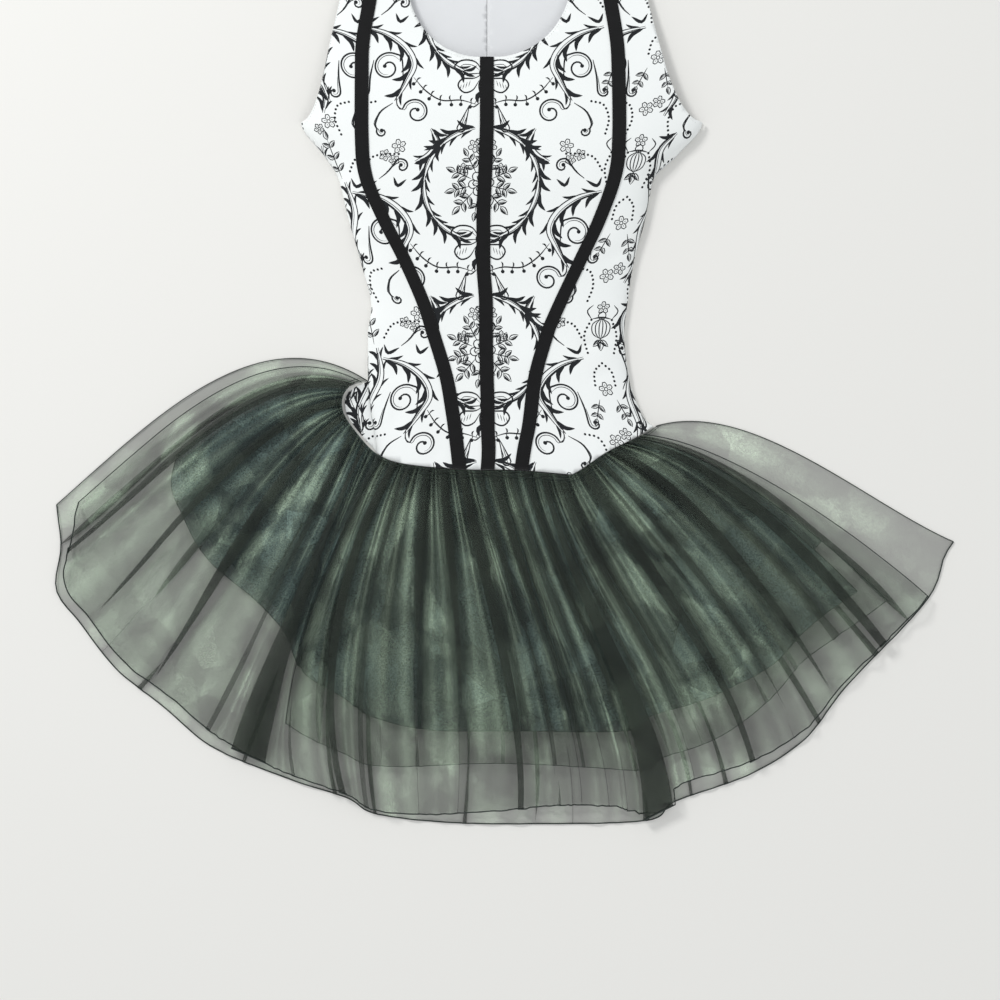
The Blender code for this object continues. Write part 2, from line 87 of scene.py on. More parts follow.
# Neck, shoulders and armholes
FRONT_NECK_Y = 476
BACK_NECK_Y = 560
SHOULDER_NECK_Y = 600
SHOULDER_SEAM_Y = 596
SHOULDER_END_Y = 588
UNDERARM_Y = 403
NECK_FRACTION = 0.76
STRAP_FRACTION = 0.30

# Dropped waist seam, from the top of the left hip corner round to the right side
WAIST_SEAM = [
    (-138, 104), (-157, 99), (-167, 86), (-166, 67), (-150, 43), (-129, 21), (-99, 8),
    (-30, 1), (38, 0), (88, -5), (104, -2), (137, 20), (175, 39), (196, 52),
]
FRONT_SEAM_START = 5
CURVE_STEPS = 16

# The hip corner's cloth stops just inside the seam
HIP_CORNER_MIDDLE = np.array([-135.0, 68.0])
HIP_CORNER_INSET = 0.91

# Hem of the outer back layer, from its left corner round to its right corner
HEM_LINE = [
    (-499, -39), (-494, -87), (-499, -138), (-471, -177), (-430, -229), (-374, -274),
    (-318, -320), (-232, -356), (-162, -379), (-130, -397), (-50, -407), (50, -409),
    (185, -405), (218, -383), (306, -351), (369, -310), (418, -248), (509, -151),
    (530, -100), (541, -82),
]

# Rays that the gathers follow from seam to hem
RAYS = {
    "columns": ("seam_share", "hem_share", "start_x", "start_y", "end_x", "end_y"),
    "rows": [
        (0.00, 0.000, -380, 250, -330, -290),
        (0.05, 0.045, -350, 90, -300, -230),
        (0.11, 0.125, -300, -100, -260, -230),
        (0.19, 0.244, -150, -320, -230, -330),
        (0.30, 0.355, -190, -330, 80, -330),
        (0.47, 0.515, 70, -400, -50, -420),
        (0.68, 0.665, 90, -400, 50, -400),
        (0.79, 0.748, 210, -340, 110, -400),
        (0.90, 0.870, 290, -60, 240, -300),
        (0.96, 0.948, 310, -30, 230, -200),
        (1.00, 1.000, 330, 100, 300, -130),
    ],
}

# Skirt layers, lowest first. Start and end are shares along the waist seam; wave is the gathers'
# height at WAVE_ROWS; rise is how much of SEAM_RISE the layer follows; hem pairs a share along
# the seam with how far down its ray the layer reaches.
LAYERS = {
    "skirt_outer_back": {
        "start": 0.0, "end": 1.0, "gathers": 28, "samples": 8, "phase": 0.3,
        "wave": (0.0, 1.4, 2.0), "rise": 0.0,
        "hem": [(0, 1.0), (1, 1.0)],
    },
    "skirt_lining_back": {
        "start": 0.06, "end": 0.94, "gathers": 18, "samples": 8, "phase": 1.1,
        "wave": (0.0, 1.2, 1.6), "rise": 0.0,
        "hem": [(0, 0.52), (0.3, 0.60), (0.5, 0.70), (0.8, 0.72), (1, 0.60)],
    },
    "skirt_lining_front": {
        "start": 0.05, "end": 0.93, "gathers": 22, "samples": 8, "phase": 2.0,
        "wave": (0.0, 1.8, 2.2), "rise": 0.9,
        "hem": [(0, 0.56), (0.14, 0.59), (0.22, 0.60), (0.30, 0.66), (0.42, 0.74), (0.62, 0.74),
                (0.78, 0.75), (0.87, 0.80), (1, 0.84)],
    },
    "skirt_mid_front": {
        "start": 0.27, "end": 0.94, "gathers": 20, "samples": 10, "phase": 0.7,
        "wave": (0.0, 2.0, 2.6), "rise": 0.95,
        "hem": [(0, 0.82), (0.27, 0.82), (0.33, 0.85), (0.45, 0.83), (0.58, 0.84), (0.72, 0.87),
                (0.84, 0.84), (0.9, 0.88), (1, 0.92)],
    },
    "skirt_outer_front": {
        "start": 0.015, "end": 0.96, "gathers": 44, "samples": 9, "phase": 1.6,
        "wave": (3.4, 5.5, 6.0), "rise": 1.0,
        "hem": [(0, 0.91), (0.06, 0.965), (0.2, 0.963), (0.26, 0.978), (0.36, 0.985), (0.45, 0.965),
                (0.55, 0.945), (0.60, 0.95), (0.65, 0.985), (0.70, 0.955), (0.8, 0.968),
                (0.87, 0.985), (1, 0.99)],
    },
}
WAVE_ROWS = (0.0, 0.25, 0.8)
SKIRT_ROWS = np.linspace(0.0, 1.0, 49) ** 1.25
SEAM_RISE = [(0, 0), (0.2, 0), (0.3, 5), (0.4, 11), (0.55, 13.3), (0.72, 13.4), (0.85, 11), (0.94, 5),
             (1, 0)]
RISE_ROWS = 0.45
GATHER_HEIGHT_SPREAD = 2.4
GATHER_HEIGHT_UNEVEN = 0.4
GATHER_UNEVEN_ROWS = 0.3
GATHER_WIDTH_SPREAD = 1.7
GATHER_WIDTH_UNEVEN = 0.35
COVER_PAST_HEM = 0.065
COVER_SLOPE = 0.10
COVER_PAST_SIDE = 0.018
SIDE_SLOPE = 0.05

# Folds
FOLD_TURN_STEPS = 5
FOLD_LEAD = 4.0
FOLD_MARGIN = 1.5
FOLD_RUN_OUT = 5.0
FOLD_RUN_OUT_ROWS = 0.3

# Middle of the whole outline, which the part's origin lies under
FRAME_CENTER = np.array([20.97, 95.45, 0.0])


def column(table, name):
    """One named column of a table as an array."""
    index = table["columns"].index(name)
    return np.array([row[index] for row in table["rows"]], dtype=float)


def ease(value):
    """Smooth step from 0 to 1."""
    value = np.clip(value, 0.0, 1.0)
    return value * value * (3.0 - 2.0 * value)


def monotone(keys, values, at):
    """Smooth curve through table values that never overshoots them."""
    keys = np.asarray(keys, dtype=float)
    values = np.asarray(values, dtype=float)
    at = np.clip(at, keys[0], keys[-1])
    step = np.diff(keys)
    slope = np.diff(values) / step
    tangent = np.concatenate(([slope[0]], np.zeros(len(keys) - 2), [slope[-1]]))
    for i in range(1, len(keys) - 1):
        if slope[i - 1] * slope[i] > 0:
            tangent[i] = (step[i - 1] + step[i]) / (step[i - 1] / slope[i - 1] + step[i] / slope[i])
    i = np.clip(np.searchsorted(keys, at, side="right") - 1, 0, len(keys) - 2)
    t = (at - keys[i]) / step[i]
    rise = t * t * (3 - 2 * t)
    lead = (t ** 3 - 2 * t ** 2 + t) * step[i] * tangent[i]
    trail = (t ** 3 - t ** 2) * step[i] * tangent[i + 1]
    return values[i] * (1 - rise) + lead + values[i + 1] * rise + trail


def table_curve(pairs, at):
    """Smooth curve through a list of key and value pairs."""
    return monotone([pair[0] for pair in pairs], [pair[1] for pair in pairs], at)


def smooth_outline(points):
    """Dense plan curve that passes smoothly through the outline's points."""
    points = np.array(points, dtype=float)
    before = np.vstack((2 * points[0] - points[1], points[:-2]))
    after = np.vstack((points[2:], 2 * points[-1] - points[-2]))
    dense = []
    for a, b, c, d in zip(before, points[:-1], points[1:], after):
        for t in np.arange(CURVE_STEPS) / CURVE_STEPS:
            bend = 2 * a - 5 * b + 4 * c - d
            turn = 3 * b - 3 * c + d - a
            dense.append(0.5 * (2 * b + (c - a) * t + bend * t * t + turn * t ** 3))
    dense.append(points[-1])
    return np.array(dense)


def along(curve, share):
    """Points at given shares of a plan curve's length."""
    run = np.concatenate(([0.0], np.cumsum(np.hypot(*np.diff(curve, axis=0).T))))
    run /= run[-1]
    return np.stack((np.interp(share, run, curve[:, 0]), np.interp(share, run, curve[:, 1])), axis=-1)


SEAM_CURVE = smooth_outline(WAIST_SEAM)
HEM_CURVE = smooth_outline(HEM_LINE)
FRONT_SEAM_CURVE = SEAM_CURVE[FRONT_SEAM_START * CURVE_STEPS:]
HIP_CORNER_CURVE = SEAM_CURVE[FRONT_SEAM_START * CURVE_STEPS::-1]


def bodice_line(name, y):
    """Plan X of one of the bodice's lengthwise lines at height Y."""
    return monotone(column(BODICE_LINES, "y"), column(BODICE_LINES, name), y)


def dome(x, y):
    """Height of the front's outer face, which rolls down to the side seams."""
    left = bodice_line("side_left", y)
    right = bodice_line("side_right", y)
    across = np.clip(np.abs(2 * x - left - right) / (right - left), 0.0, 1.0)
    crown = (1 - across ** DOME_POWER) ** (1 / DOME_POWER)
    return FRONT_RIM + table_curve(DOME_HEIGHT, y) * crown


def waist_seam_y(x):
    """Y of the front's waist seam at plan X."""
    return np.interp(x, FRONT_SEAM_CURVE[:, 0], FRONT_SEAM_CURVE[:, 1])


def scoop(low, high, share):
    """Neckline or armhole: flat at its low point, upright where it meets the strap."""
    return low + (high - low) * (1 - np.sqrt(np.clip(1 - share * share, 0.0, 1.0)))


def scoop_share(degrees):
    """Shares along a scooped edge, close together where the edge turns upright."""
    return np.sin(np.radians(degrees))


def side_corner(y):
    """Plan X of the left back's hip corner, which shows past the front."""
    edge_x, edge_y = (HIP_CORNER_MIDDLE + (HIP_CORNER_CURVE - HIP_CORNER_MIDDLE) * HIP_CORNER_INSET).T
    inside = (y > edge_y[0]) & (y < edge_y[-1])
    return np.where(inside, np.interp(y, edge_y, edge_x), np.inf)


def panel_points(columns, rows, height):
    """Grid of points from plan columns, each a pair of X as a function of Y and a top Y."""
    grid = np.zeros((len(rows), len(columns), 3))
    for j, (plan_x, top) in enumerate(columns):
        low = waist_seam_y(plan_x(waist_seam_y(plan_x(0.0))))
        low = waist_seam_y(plan_x(low)) + WAIST_GAP
        y = low + (top - low) * rows
        x = plan_x(y)
        grid[:, j] = np.stack((x, y, height(x, y)), axis=-1)
    return grid


def between(near, far, share, near_inset, far_inset, sign):
    """Plan X that runs between two of the bodice's lines, inset from each."""
    def plan_x(y):
        start = bodice_line(near, y) + sign * near_inset
        end = bodice_line(far, y) - sign * far_inset
        return start + (end - start) * share
    return plan_x


def neck_columns(far, sign, angles, low, near_inset, far_inset):
    """Columns under a scooped neckline, from the centre to the strap."""
    return [(between("center", far, NECK_FRACTION * share, near_inset, far_inset, sign),
             scoop(low, SHOULDER_NECK_Y, share)) for share in scoop_share(angles)]


def armhole_columns(near, far, sign, angles, near_inset, roll=()):
    """Columns under a scooped armhole, from the strap to the side."""
    shares = np.concatenate((1 - (1 - STRAP_FRACTION) * scoop_share(angles), roll))
    return [(between(near, far, share, near_inset, 0.0, sign),
             scoop(UNDERARM_Y, SHOULDER_END_Y, (1 - share) / (1 - STRAP_FRACTION))) for share in shares]


def center_columns(half, sign):
    """Columns of a centre front panel, with one at each ribbon's edge."""
    far = "princess_" + half
    inset = RIBBON_WIDTH / 2
    gap = SEAM_GAP / 2
    columns = [(between("center", far, 0.0, gap, gap, sign), FRONT_NECK_Y)]
    columns += neck_columns(far, sign, NECK_ANGLES, FRONT_NECK_Y, inset, inset)
    columns.append((between("center", far, 1.0, inset, inset, sign), SHOULDER_SEAM_Y + 1))
    columns.append((between("center", far, 1.0, gap, gap, sign), SHOULDER_SEAM_Y))
    return columns


def side_columns(half, sign):
    """Columns of a side front panel, from the princess seam to the rolled side."""
    near = "princess_" + half
    far = "side_" + half
    columns = [
        (between(near, far, 0.0, SEAM_GAP / 2, 0.0, sign), SHOULDER_SEAM_Y),
        (between(near, far, 0.0, RIBBON_WIDTH / 2, 0.0, sign), SHOULDER_SEAM_Y - 1),
    ]
    return columns + armhole_columns(near, far, sign, ARMHOLE_ANGLES, RIBBON_WIDTH / 2, SIDE_ROLL)


def back_columns(half, sign):
    """Columns of a back panel, which lies flat under the front."""
    princess = "princess_" + half
    columns = neck_columns(princess, sign, BACK_NECK_ANGLES, BACK_NECK_Y, SEAM_GAP / 2, 0.0)
    columns.append((between("center", princess, 1.0, 0.0, 0.0, sign), SHOULDER_SEAM_Y))
    return columns + armhole_columns(princess, "side_" + half, sign, BACK_ARMHOLE_ANGLES, 0.0)


def with_hip_corner(columns):
    """The left back's columns, with its side led round the hip corner."""
    side, top = columns[-1]

    def corner_x(y):
        return np.minimum(side(y), side_corner(y))
    return columns[:-1] + [(corner_x, top)]


def fan(share, row):
    """Plan point on a ray of the skirt: share along the seam, row from seam to hem."""
    share = np.asarray(share, dtype=float)
    row = np.asarray(row, dtype=float)[..., None]
    seam_share = column(RAYS, "seam_share")
    ray = {name: monotone(seam_share, column(RAYS, name), share) for name in RAYS["columns"][1:]}
    start = along(SEAM_CURVE, share)
    end = along(HEM_CURVE, ray["hem_share"])
    leave = np.stack((ray["start_x"], ray["start_y"]), axis=-1)
    arrive = np.stack((ray["end_x"], ray["end_y"]), axis=-1)
    blend = row * row * (3 - 2 * row)
    lead = row ** 3 - 2 * row ** 2 + row
    trail = row ** 3 - row ** 2
    return start * (1 - blend) + leave * lead + end * blend + arrive * trail


def hem_row(layer, share):
    """How far down its ray a layer's hem lies."""
    return table_curve(layer["hem"], share)


def wave_height(layer, row):
    """Height of a layer's gathers between their valleys and crests."""
    return monotone(WAVE_ROWS, layer["wave"], row)


def cover(layer, share, row):
    """1 over a layer, falling to 0 past its hem and its side edges."""
    past_hem = ease((row - hem_row(layer, share) - COVER_PAST_HEM) / COVER_SLOPE)
    past_left = ease((layer["start"] - COVER_PAST_SIDE - share) / SIDE_SLOPE)
    past_right = ease((share - layer["end"] - COVER_PAST_SIDE) / SIDE_SLOPE)
    return (1 - past_hem) * (1 - past_left) * (1 - past_right)


def stack_height(name, share, row):
    """Lowest height of a layer's underside, clear of every layer below it."""
    height = np.zeros(np.broadcast(share, row).shape)
    for lower in LAYERS:
        if lower == name:
            break
        room = SKIRT_WALL + LAYER_GAP + wave_height(LAYERS[lower], row)
        height = height + room * cover(LAYERS[lower], share, row)
    rise = LAYERS[name]["rise"] * table_curve(SEAM_RISE, share)
    return height + rise * (1 - ease(row / RISE_ROWS))


def gather_wave(layer, phase, row):
    """Height of the gathers at a phase counted in whole gathers."""
    number = np.floor(phase)
    uneven = GATHER_HEIGHT_UNEVEN * (np.sin(GATHER_HEIGHT_SPREAD * number + layer["phase"]) - 1)
    size = 1 + uneven * ease(row / GATHER_UNEVEN_ROWS)
    return wave_height(layer, row) * size * (0.5 - 0.5 * np.cos(2 * np.pi * phase))


def gather_steps(layer, count, first=0):
    """Uneven widths of a run of gathers, as shares of the run with their phases."""
    number = np.arange(first, first + count)
    widths = 1 + GATHER_WIDTH_UNEVEN * np.sin(GATHER_WIDTH_SPREAD * number + layer["phase"])
    edges = np.concatenate(([0.0], np.cumsum(widths))) / widths.sum()
    phases = np.arange(count * layer["samples"] + 1) / layer["samples"]
    return np.interp(phases, np.arange(count + 1), edges), phases


# Print: a repeat of medallions, bows, scrolls and swags, in millimetres over the flat cloth
INK_LINE = 2.1
PEN_STEP = 3.0
LEAST_PRESS = 0.08
REPEAT_HEIGHT = 191.0
REPEAT_WIDTH = 330.0
MEDALLION_AT = -4 + 138j
PRINT_LEAN = [(-10, 2), (150, -24), (290, 4), (600, 66)]
CLOTH_SPACING = 8.0
ROLL_SPACING = (0.8, 1.8, 3.2, 5.0, 7.4, 10.4)
SHELL_WALL = 1.2
EDGE_STITCH_INSET = 3.5
PANEL_ROWS = np.linspace(0, 1, 61)
MERGE_DISTANCE = 0.02
# The left back's printed face turns up at its hip corner: left of this run and below this height
TURNED_EDGE = -95.0
TURNED_TOP = 118.0

# Stitches, each a thread with pointed ends
STITCH_LENGTH = 2.3
STITCH_PITCH = 3.5
STITCH_RADIUS = 0.28
STITCH_FACES = (
    (0, 2, 4), (0, 4, 3), (0, 3, 5), (0, 5, 2), (1, 4, 2), (1, 3, 4), (1, 5, 3), (1, 2, 5),
)

# Ribbons
RIBBON_PILE = 0.7
RIBBON_CROWN = 0.45
RIBBON_ROWS = np.linspace(0, 1, 121)
RIBBON_SHARES = np.linspace(-1, 1, 9)
RIBBON_STITCH_LIFT = 0.1


def spline(knots):
    """Smooth pen path through knots, as complex plan points."""
    knots = np.asarray(knots, dtype=complex)
    curve = smooth_outline(np.stack((knots.real, knots.imag), axis=-1))
    length = np.hypot(*np.diff(curve, axis=0).T).sum()
    path = along(curve, np.linspace(0, 1, max(3, round(length / PEN_STEP) + 1)))
    return path[:, 0] + 1j * path[:, 1]


def heading(path):
    """Unit direction of a path at each of its points."""
    ahead = np.gradient(path)
    return ahead / np.maximum(np.abs(ahead), 1e-9)


def pen(path, width, press):
    """Strip of cross pairs along a path, its width scaled by the pen's press."""
    half = 1j * heading(path) * width / 2 * np.maximum(press, LEAST_PRESS)
    return np.stack((path + half, path - half), axis=-1)


def stroke(knots, width=INK_LINE, start=0.35, end=0.35):
    """Pen line through knots that narrows to a share of its width at each end."""
    path = spline(knots)
    share = np.linspace(0, 1, len(path))
    return pen(path, width, np.interp(share, (0, 0.25, 0.75, 1), (start, 1, 1, end)))


def blade(knots, width):
    """Filled leaf blade along knots, pointed at both ends."""
    path = spline(knots)
    return pen(path, width, np.sin(np.pi * np.linspace(0, 1, len(path))) ** 0.7)


def disk(center, radius):
    """Filled round dot."""
    angle = np.radians(np.linspace(-84, 84, 6))
    across = center + radius * np.sin(angle)
    return np.stack((across + 1j * radius * np.cos(angle), across - 1j * radius * np.cos(angle)), axis=-1)


def ring(center, radius, width=INK_LINE):
    """Round outline."""
    steps = max(9, round(2 * math.pi * radius / PEN_STEP))
    return pen(center + radius * np.exp(2j * np.pi * np.linspace(0, 1, steps)), width, 1.0)


def leaf(root, tip, width):
    """Leaf outline with its vein and one shaded half."""
    run = tip - root
    side = 1j * run / abs(run) * width / 2
    upper = [root, root + 0.3 * run + side, root + 0.65 * run + 0.8 * side, tip]
    lower = [root, root + 0.3 * run - side, root + 0.65 * run - 0.8 * side, tip]
    vein = [root, root + 0.8 * run]
    shade = [root + 0.15 * run - 0.35 * side, root + 0.5 * run - 0.6 * side, root + 0.85 * run - 0.1 * side]
    return [stroke(upper, 1.2), stroke(lower, 1.2), stroke(vein, 0.8), blade(shade, width * 0.3)]


def sprig(root, tip, pairs, size):
    """Stem with leaves on both sides and one at its tip."""
    run = tip - root
    ahead = run / abs(run)
    marks = [stroke([root, root + 0.5 * run, tip], 1.2)]
    for i in range(pairs):
        at = root + run * (i + 0.7) / (pairs + 0.3)
        reach = size * (1 - 0.25 * i / pairs)
        marks += leaf(at, at + reach * ahead * np.exp(0.95j), size * 0.42)
        marks += leaf(at, at + reach * ahead * np.exp(-0.95j), size * 0.42)
    return marks + leaf(tip, tip + size * ahead, size * 0.45)


def flower(center, radius, petals=5, turn=0.3):
    """Small open flower."""
    marks = [ring(center, radius * 0.26, 1.1)]
    for i in range(petals):
        out = np.exp(1j * (turn + 2 * np.pi * i / petals))
        spread = np.exp(0.42j)
        knots = [0.34 * out / np.exp(0.6j), 0.85 * out / spread, 1.06 * out, 0.85 * out * spread,
                 0.34 * out * np.exp(0.6j)]
        marks.append(stroke([center + radius * knot for knot in knots], 1.3))
        marks.append(stroke([center + radius * 0.42 * out, center + radius * 0.72 * out], 0.8))
    return marks


def rose(center, radius):
    """Full flower: rings of petals round a coiled heart."""
    marks = flower(center, radius, 6, 0.1) + flower(center, radius * 0.66, 5, 0.6)
    coil = [center + radius * 0.05 * k * np.exp(1.1j * k) for k in range(1, 7)]
    return marks + [stroke(coil, 1.1)]


def acanthus(knots, width, spur, count, side=1):
    """Curling band with hooked leaf points along one side."""
    path = spline(knots)
    ahead = heading(path)
    share = np.linspace(0, 1, len(path))
    half = 1j * ahead * width / 2 * np.sin(np.pi * np.clip(share, 0.04, 0.96)) ** 0.6
    press = np.interp(share, (0, 0.2, 0.8, 1), (0.4, 1, 1, 0.4))
    marks = [pen(path + half * side, INK_LINE * 1.15, press), pen(path - half * side, 1.3, press)]
    marks.append(pen(path[2:-2] + 0.25 * half[2:-2] * side, 0.8, 1.0))
    for i in range(count):
        k = round((i + 0.55) / count * (len(path) - 1))
        root = path[k] + half[k] * side
        out = 1j * side * ahead[k]
        hook = ((-0.55, 0), (0.22, 0.22), (0.62, 0.80))
        marks.append(blade([root + spur * (on * ahead[k] + off * out) for on, off in hook], 0.32 * spur))
        inner = path[k] - half[k] * side
        hook = ((-0.3, 0), (0.25, -0.12), (0.65, -0.42))
        marks.append(blade([inner + spur * (on * ahead[k] + off * out) for on, off in hook], 0.20 * spur))
    return marks


def volute(center, radius, start, turns, tail=()):
    """Scroll: a tail that winds into a coil with a round eye. Turns below 0 wind clockwise."""
    steps = np.linspace(0, 1, 5 + round(9 * abs(turns)))
    coil = center + radius * (1 - 0.80 * steps) * np.exp(1j * (start + 2 * np.pi * turns * steps))
    marks = [stroke(list(tail) + list(coil), 2.1, 0.4, 1.0), disk(coil[-1], 2.3)]
    inner = center + (coil - center) * (1 - 2.9 / np.abs(coil - center))
    keep = inner[:max(3, round(len(inner) * 0.55))]
    shift = [knot + 1.6 for knot in tail[1:]]
    return marks + [stroke(shift + list(keep), 0.9)]


def beads(knots, spacing=5.0, radius=1.45):
    """Chain of dots."""
    path = spline(knots)
    run = np.concatenate(([0.0], np.cumsum(np.abs(np.diff(path)))))
    at = np.arange(0, run[-1], spacing)
    centers = np.interp(at, run, path.real) + 1j * np.interp(at, run, path.imag)
    return [disk(center, radius) for center in centers]


def berry_vine(knots, count):
    """Vine with drop-shaped berries below and leaf blades above."""
    path = spline(knots)
    ahead = heading(path)
    marks = [stroke(knots, 1.7)]
    for i in range(count):
        k = round((i + 0.5) / count * (len(path) - 1))
        out = -1j * ahead[k]
        marks.append(stroke([path[k], path[k] + 3.0 * out], 1.0, 1, 1))
        marks.append(disk(path[k] + 5.0 * out, 2.2))
        marks.append(blade([path[k], path[k] - 3.2 * out + 1.8 * ahead[k], path[k] - 6.5 * out], 2.0))
    return marks


def club(root, tip, width):
    """Long drop with a round end and shading lines."""
    run = tip - root
    side = 1j * run / abs(run) * width / 2
    edge = [root, root + 0.55 * run + 0.6 * side, root + 0.9 * run + side, tip,
            root + 0.9 * run - side, root + 0.55 * run - 0.6 * side, root]
    marks = [stroke(edge, 1.5, 0.7, 0.7)]
    for offset in (-0.35, 0.15):
        marks.append(stroke([root + 0.35 * run + offset * side, root + 0.93 * run + offset * side], 0.8))
    return marks


def bow_half(center):
    """Right half of a ribbon bow: loop, fold and tail."""
    loop = [0, 9 + 13j, 24 + 15j, 33 + 8j, 27 - 1j, 14 - 1j, 0]
    inner = [4 + 3j, 12 + 9j, 23 + 10j, 27 + 6j]
    drop = [0, 10 - 6j, 24 - 7j, 29 - 15j, 22 - 23j, 12 - 20j, 5 - 9j]
    tail = [1, 5 - 14j, 4 - 26j, 10 - 36j]
    marks = [stroke([center + knot for knot in shape], 1.9) for shape in (loop, drop, tail)]
    marks.append(stroke([center + knot for knot in inner], 0.9))
    for i in range(4):
        root = center + 15 - 9j + 3.4 * i - 1.6j * i
        marks.append(stroke([root, root + 2 - 7j], 0.9))
    return marks


def wreath_half(center):
    """Right half of a wreath of hooked leaves."""
    marks = []
    for start, end in ((82, 38), (47, 2), (8, -40), (-34, -72)):
        angle = np.radians(np.linspace(start, end, 5))
        knots = center + 66 * np.cos(angle) + 64j * np.sin(angle)
        marks += acanthus(knots, 5.5, 15, 3)
    foot = center + 66 * np.cos(np.radians(-70)) + 64j * np.sin(np.radians(-70))
    marks.append(blade([foot, foot - 9 + 1j, foot - 15 + 6j], 4))
    marks.append(blade([foot + 2, foot - 5 - 5j, foot - 13 - 7j], 4))
    return marks


def bouquet_half(center):
    """Right half of a bouquet: sprigs and small flowers round a rose."""
    marks = []
    for degrees, reach, pairs, size in ((62, 22, 2, 11), (24, 20, 2, 12), (-14, 18, 2, 12),
                                        (-48, 22, 2, 13), (-80, 20, 1, 11)):
        out = np.exp(1j * np.radians(degrees))
        marks += sprig(center + 13 * out, center + (13 + reach) * out, pairs, size)
    marks += flower(center + 9 + 43j, 7.5, 5, 0.9)
    marks += flower(center + 21 + 17j, 6.0, 5, 0.2)
    return marks


def urn(center):
    """Ribbed urn with a flower on top and a leaf drop below."""
    marks = [ring(center + 15j, 4.5, 1.3)]
    for reach in (10, 6, 2):
        for sign in (-1, 1):
            rib = (12j, sign * reach + 5j, sign * reach * 0.9 - 6j, -12j)
            marks.append(stroke([center + knot for knot in rib], 1.3))
    marks.append(stroke([center - 11 + 11j, center + 13j, center + 11 + 11j], 1.8))
    marks += flower(center + 24j, 7, 5, 0.4)
    marks += leaf(center - 12j, center - 26j, 7)
    for sign in (-1, 1):
        marks += leaf(center - 13j, center + 9 * sign - 21j, 5)
        marks += beads([center + 12 * sign + 10j, center + 19 * sign - 8j, center + 15 * sign - 30j])
        handle = (12 * sign + 11j, 18 * sign + 20j, 12 * sign + 27j)
        marks.append(stroke([center + knot for knot in handle], 1.5))
    return marks


def repeat_half():
    """Marks of the right half of one repeat, measured from the medallion's middle."""
    marks = wreath_half(0) + bouquet_half(0) + bow_half(-63j)
    marks += [blade([-1 - 84j, 7 - 90j, 6 - 99j], 5)]
    marks += berry_vine([8 - 100j, 26 - 95j, 48 - 95j, 66 - 84j, 80 - 68j], 7)
    marks += club(16 - 101j, 27 - 132j, 9)
    marks += [stroke([4 - 98j, 11 - 103j, 16 - 101j], 1.6)]
    marks += acanthus([139 - 8j, 112 - 16j, 90 - 32j, 80 - 52j, 88 - 72j, 101 - 96j], 7.5, 16, 6)
    marks += volute(110 - 56j, 19, 2.6, -1.35, (92 - 76j,))
    marks += volute(77 - 109j, 17, 0.2, 1.3, (100 - 88j, 99 - 100j))
    marks += volute(139 - 84j, 8, 3.0, 0.8, (126 - 47j, 130 - 66j))
    marks += volute(116 - 131j, 7, 0.5, -0.9, (104 - 98j, 118 - 108j, 124 - 122j))
    marks += beads([124 - 96j, 138 - 100j, 144 - 116j, 140 - 134j])
    marks += acanthus([60 - 128j, 52 - 144j, 62 - 158j, 77 - 166j], 6, 13, 3, -1)
    marks += flower(96 - 148j, 8, 5, 0.1) + flower(112 - 158j, 6.5, 5, 0.7) + flower(101 - 164j, 6, 5, 1.1)
    marks += beads([96 + 34j, 112 + 34j, 128 + 30j, 140 + 12j])
    marks += volute(92 + 20j, 9, 0.9, 1.0, (118 + 6j, 108 + 14j))
    marks += [blade([86 + 5j, 96 - 2j, 101 + 8j], 4), blade([120 + 4j, 133 - 2j, 138 + 8j], 4)]
    return marks


def urn_column():
    """Urns, sprigs and swagged beads down the right side."""
    marks = urn(160 + 26j) + sprig(150 - 56j, 142 - 78j, 2, 10) + sprig(170 - 56j, 178 - 78j, 2, 10)
    marks += flower(160 - 44j, 8, 5, 0.5) + flower(171 - 96j, 7, 5, 0.2) + flower(158 - 104j, 8, 5, 0.9)
    marks += beads([160 - 14j, 150 - 24j, 148 - 42j]) + beads([160 - 14j, 170 - 24j, 172 - 42j])
    marks += volute(186 + 2j, 10, 2.2, -1.1, (180 - 44j, 190 - 22j))
    marks += acanthus([196 - 20j, 186 - 50j, 190 - 86j, 180 - 112j], 7, 13, 5)
    return marks + acanthus([200 + 60j, 186 + 40j, 190 + 14j, 200 - 8j], 7, 13, 4, -1)


def leafy_column():
    """Dense upright leaves of the left side, from one repeat to the next."""
    marks = []
    for x, low, high, bend in ((-156, -108, -20, 7), (-146, -96, 4, -6), (-166, -60, 46, 6)):
        sway = zip((0, bend, -bend, 0), (0, 0.3, 0.65, 1))
        knots = [x + aside + 1j * (low + (high - low) * share) for aside, share in sway]
        marks += acanthus(knots, 8, 13, 6)
    marks += sprig(-150 + 8j, -158 + 52j, 3, 12)
    return marks + flower(-152 - 118j, 8, 5, 0.4) + flower(-165 - 126j, 6, 5, 0.9)


def centered_marks():
    """Marks on the medallion's own middle line."""
    marks = rose(0, 14) + sprig(20j, 38j, 2, 10) + flower(47j, 8, 5, 0.3)
    marks += [disk(-63j, 3.4), ring(-63j, 4.6, 1.4), ring(58j, 3.2, 1.4), ring(67j, 2.4, 1.2)]
    return marks


def cloth_print():
    """Every mark of the print over the whole cloth, as strips of complex plan points."""
    half = repeat_half()
    middle = centered_marks()
    sides = leafy_column() + urn_column()
    marks = []
    for row in range(-1, 4):
        shift = MEDALLION_AT + 1j * REPEAT_HEIGHT * row
        marks += [mark + shift for mark in sides]
        for side in (-1, 0, 1):
            across = shift + side * REPEAT_WIDTH
            marks += [mark + across for mark in middle]
            marks += [mark + across for mark in half]
            marks += [-mark.conj() + across for mark in half]
    return marks


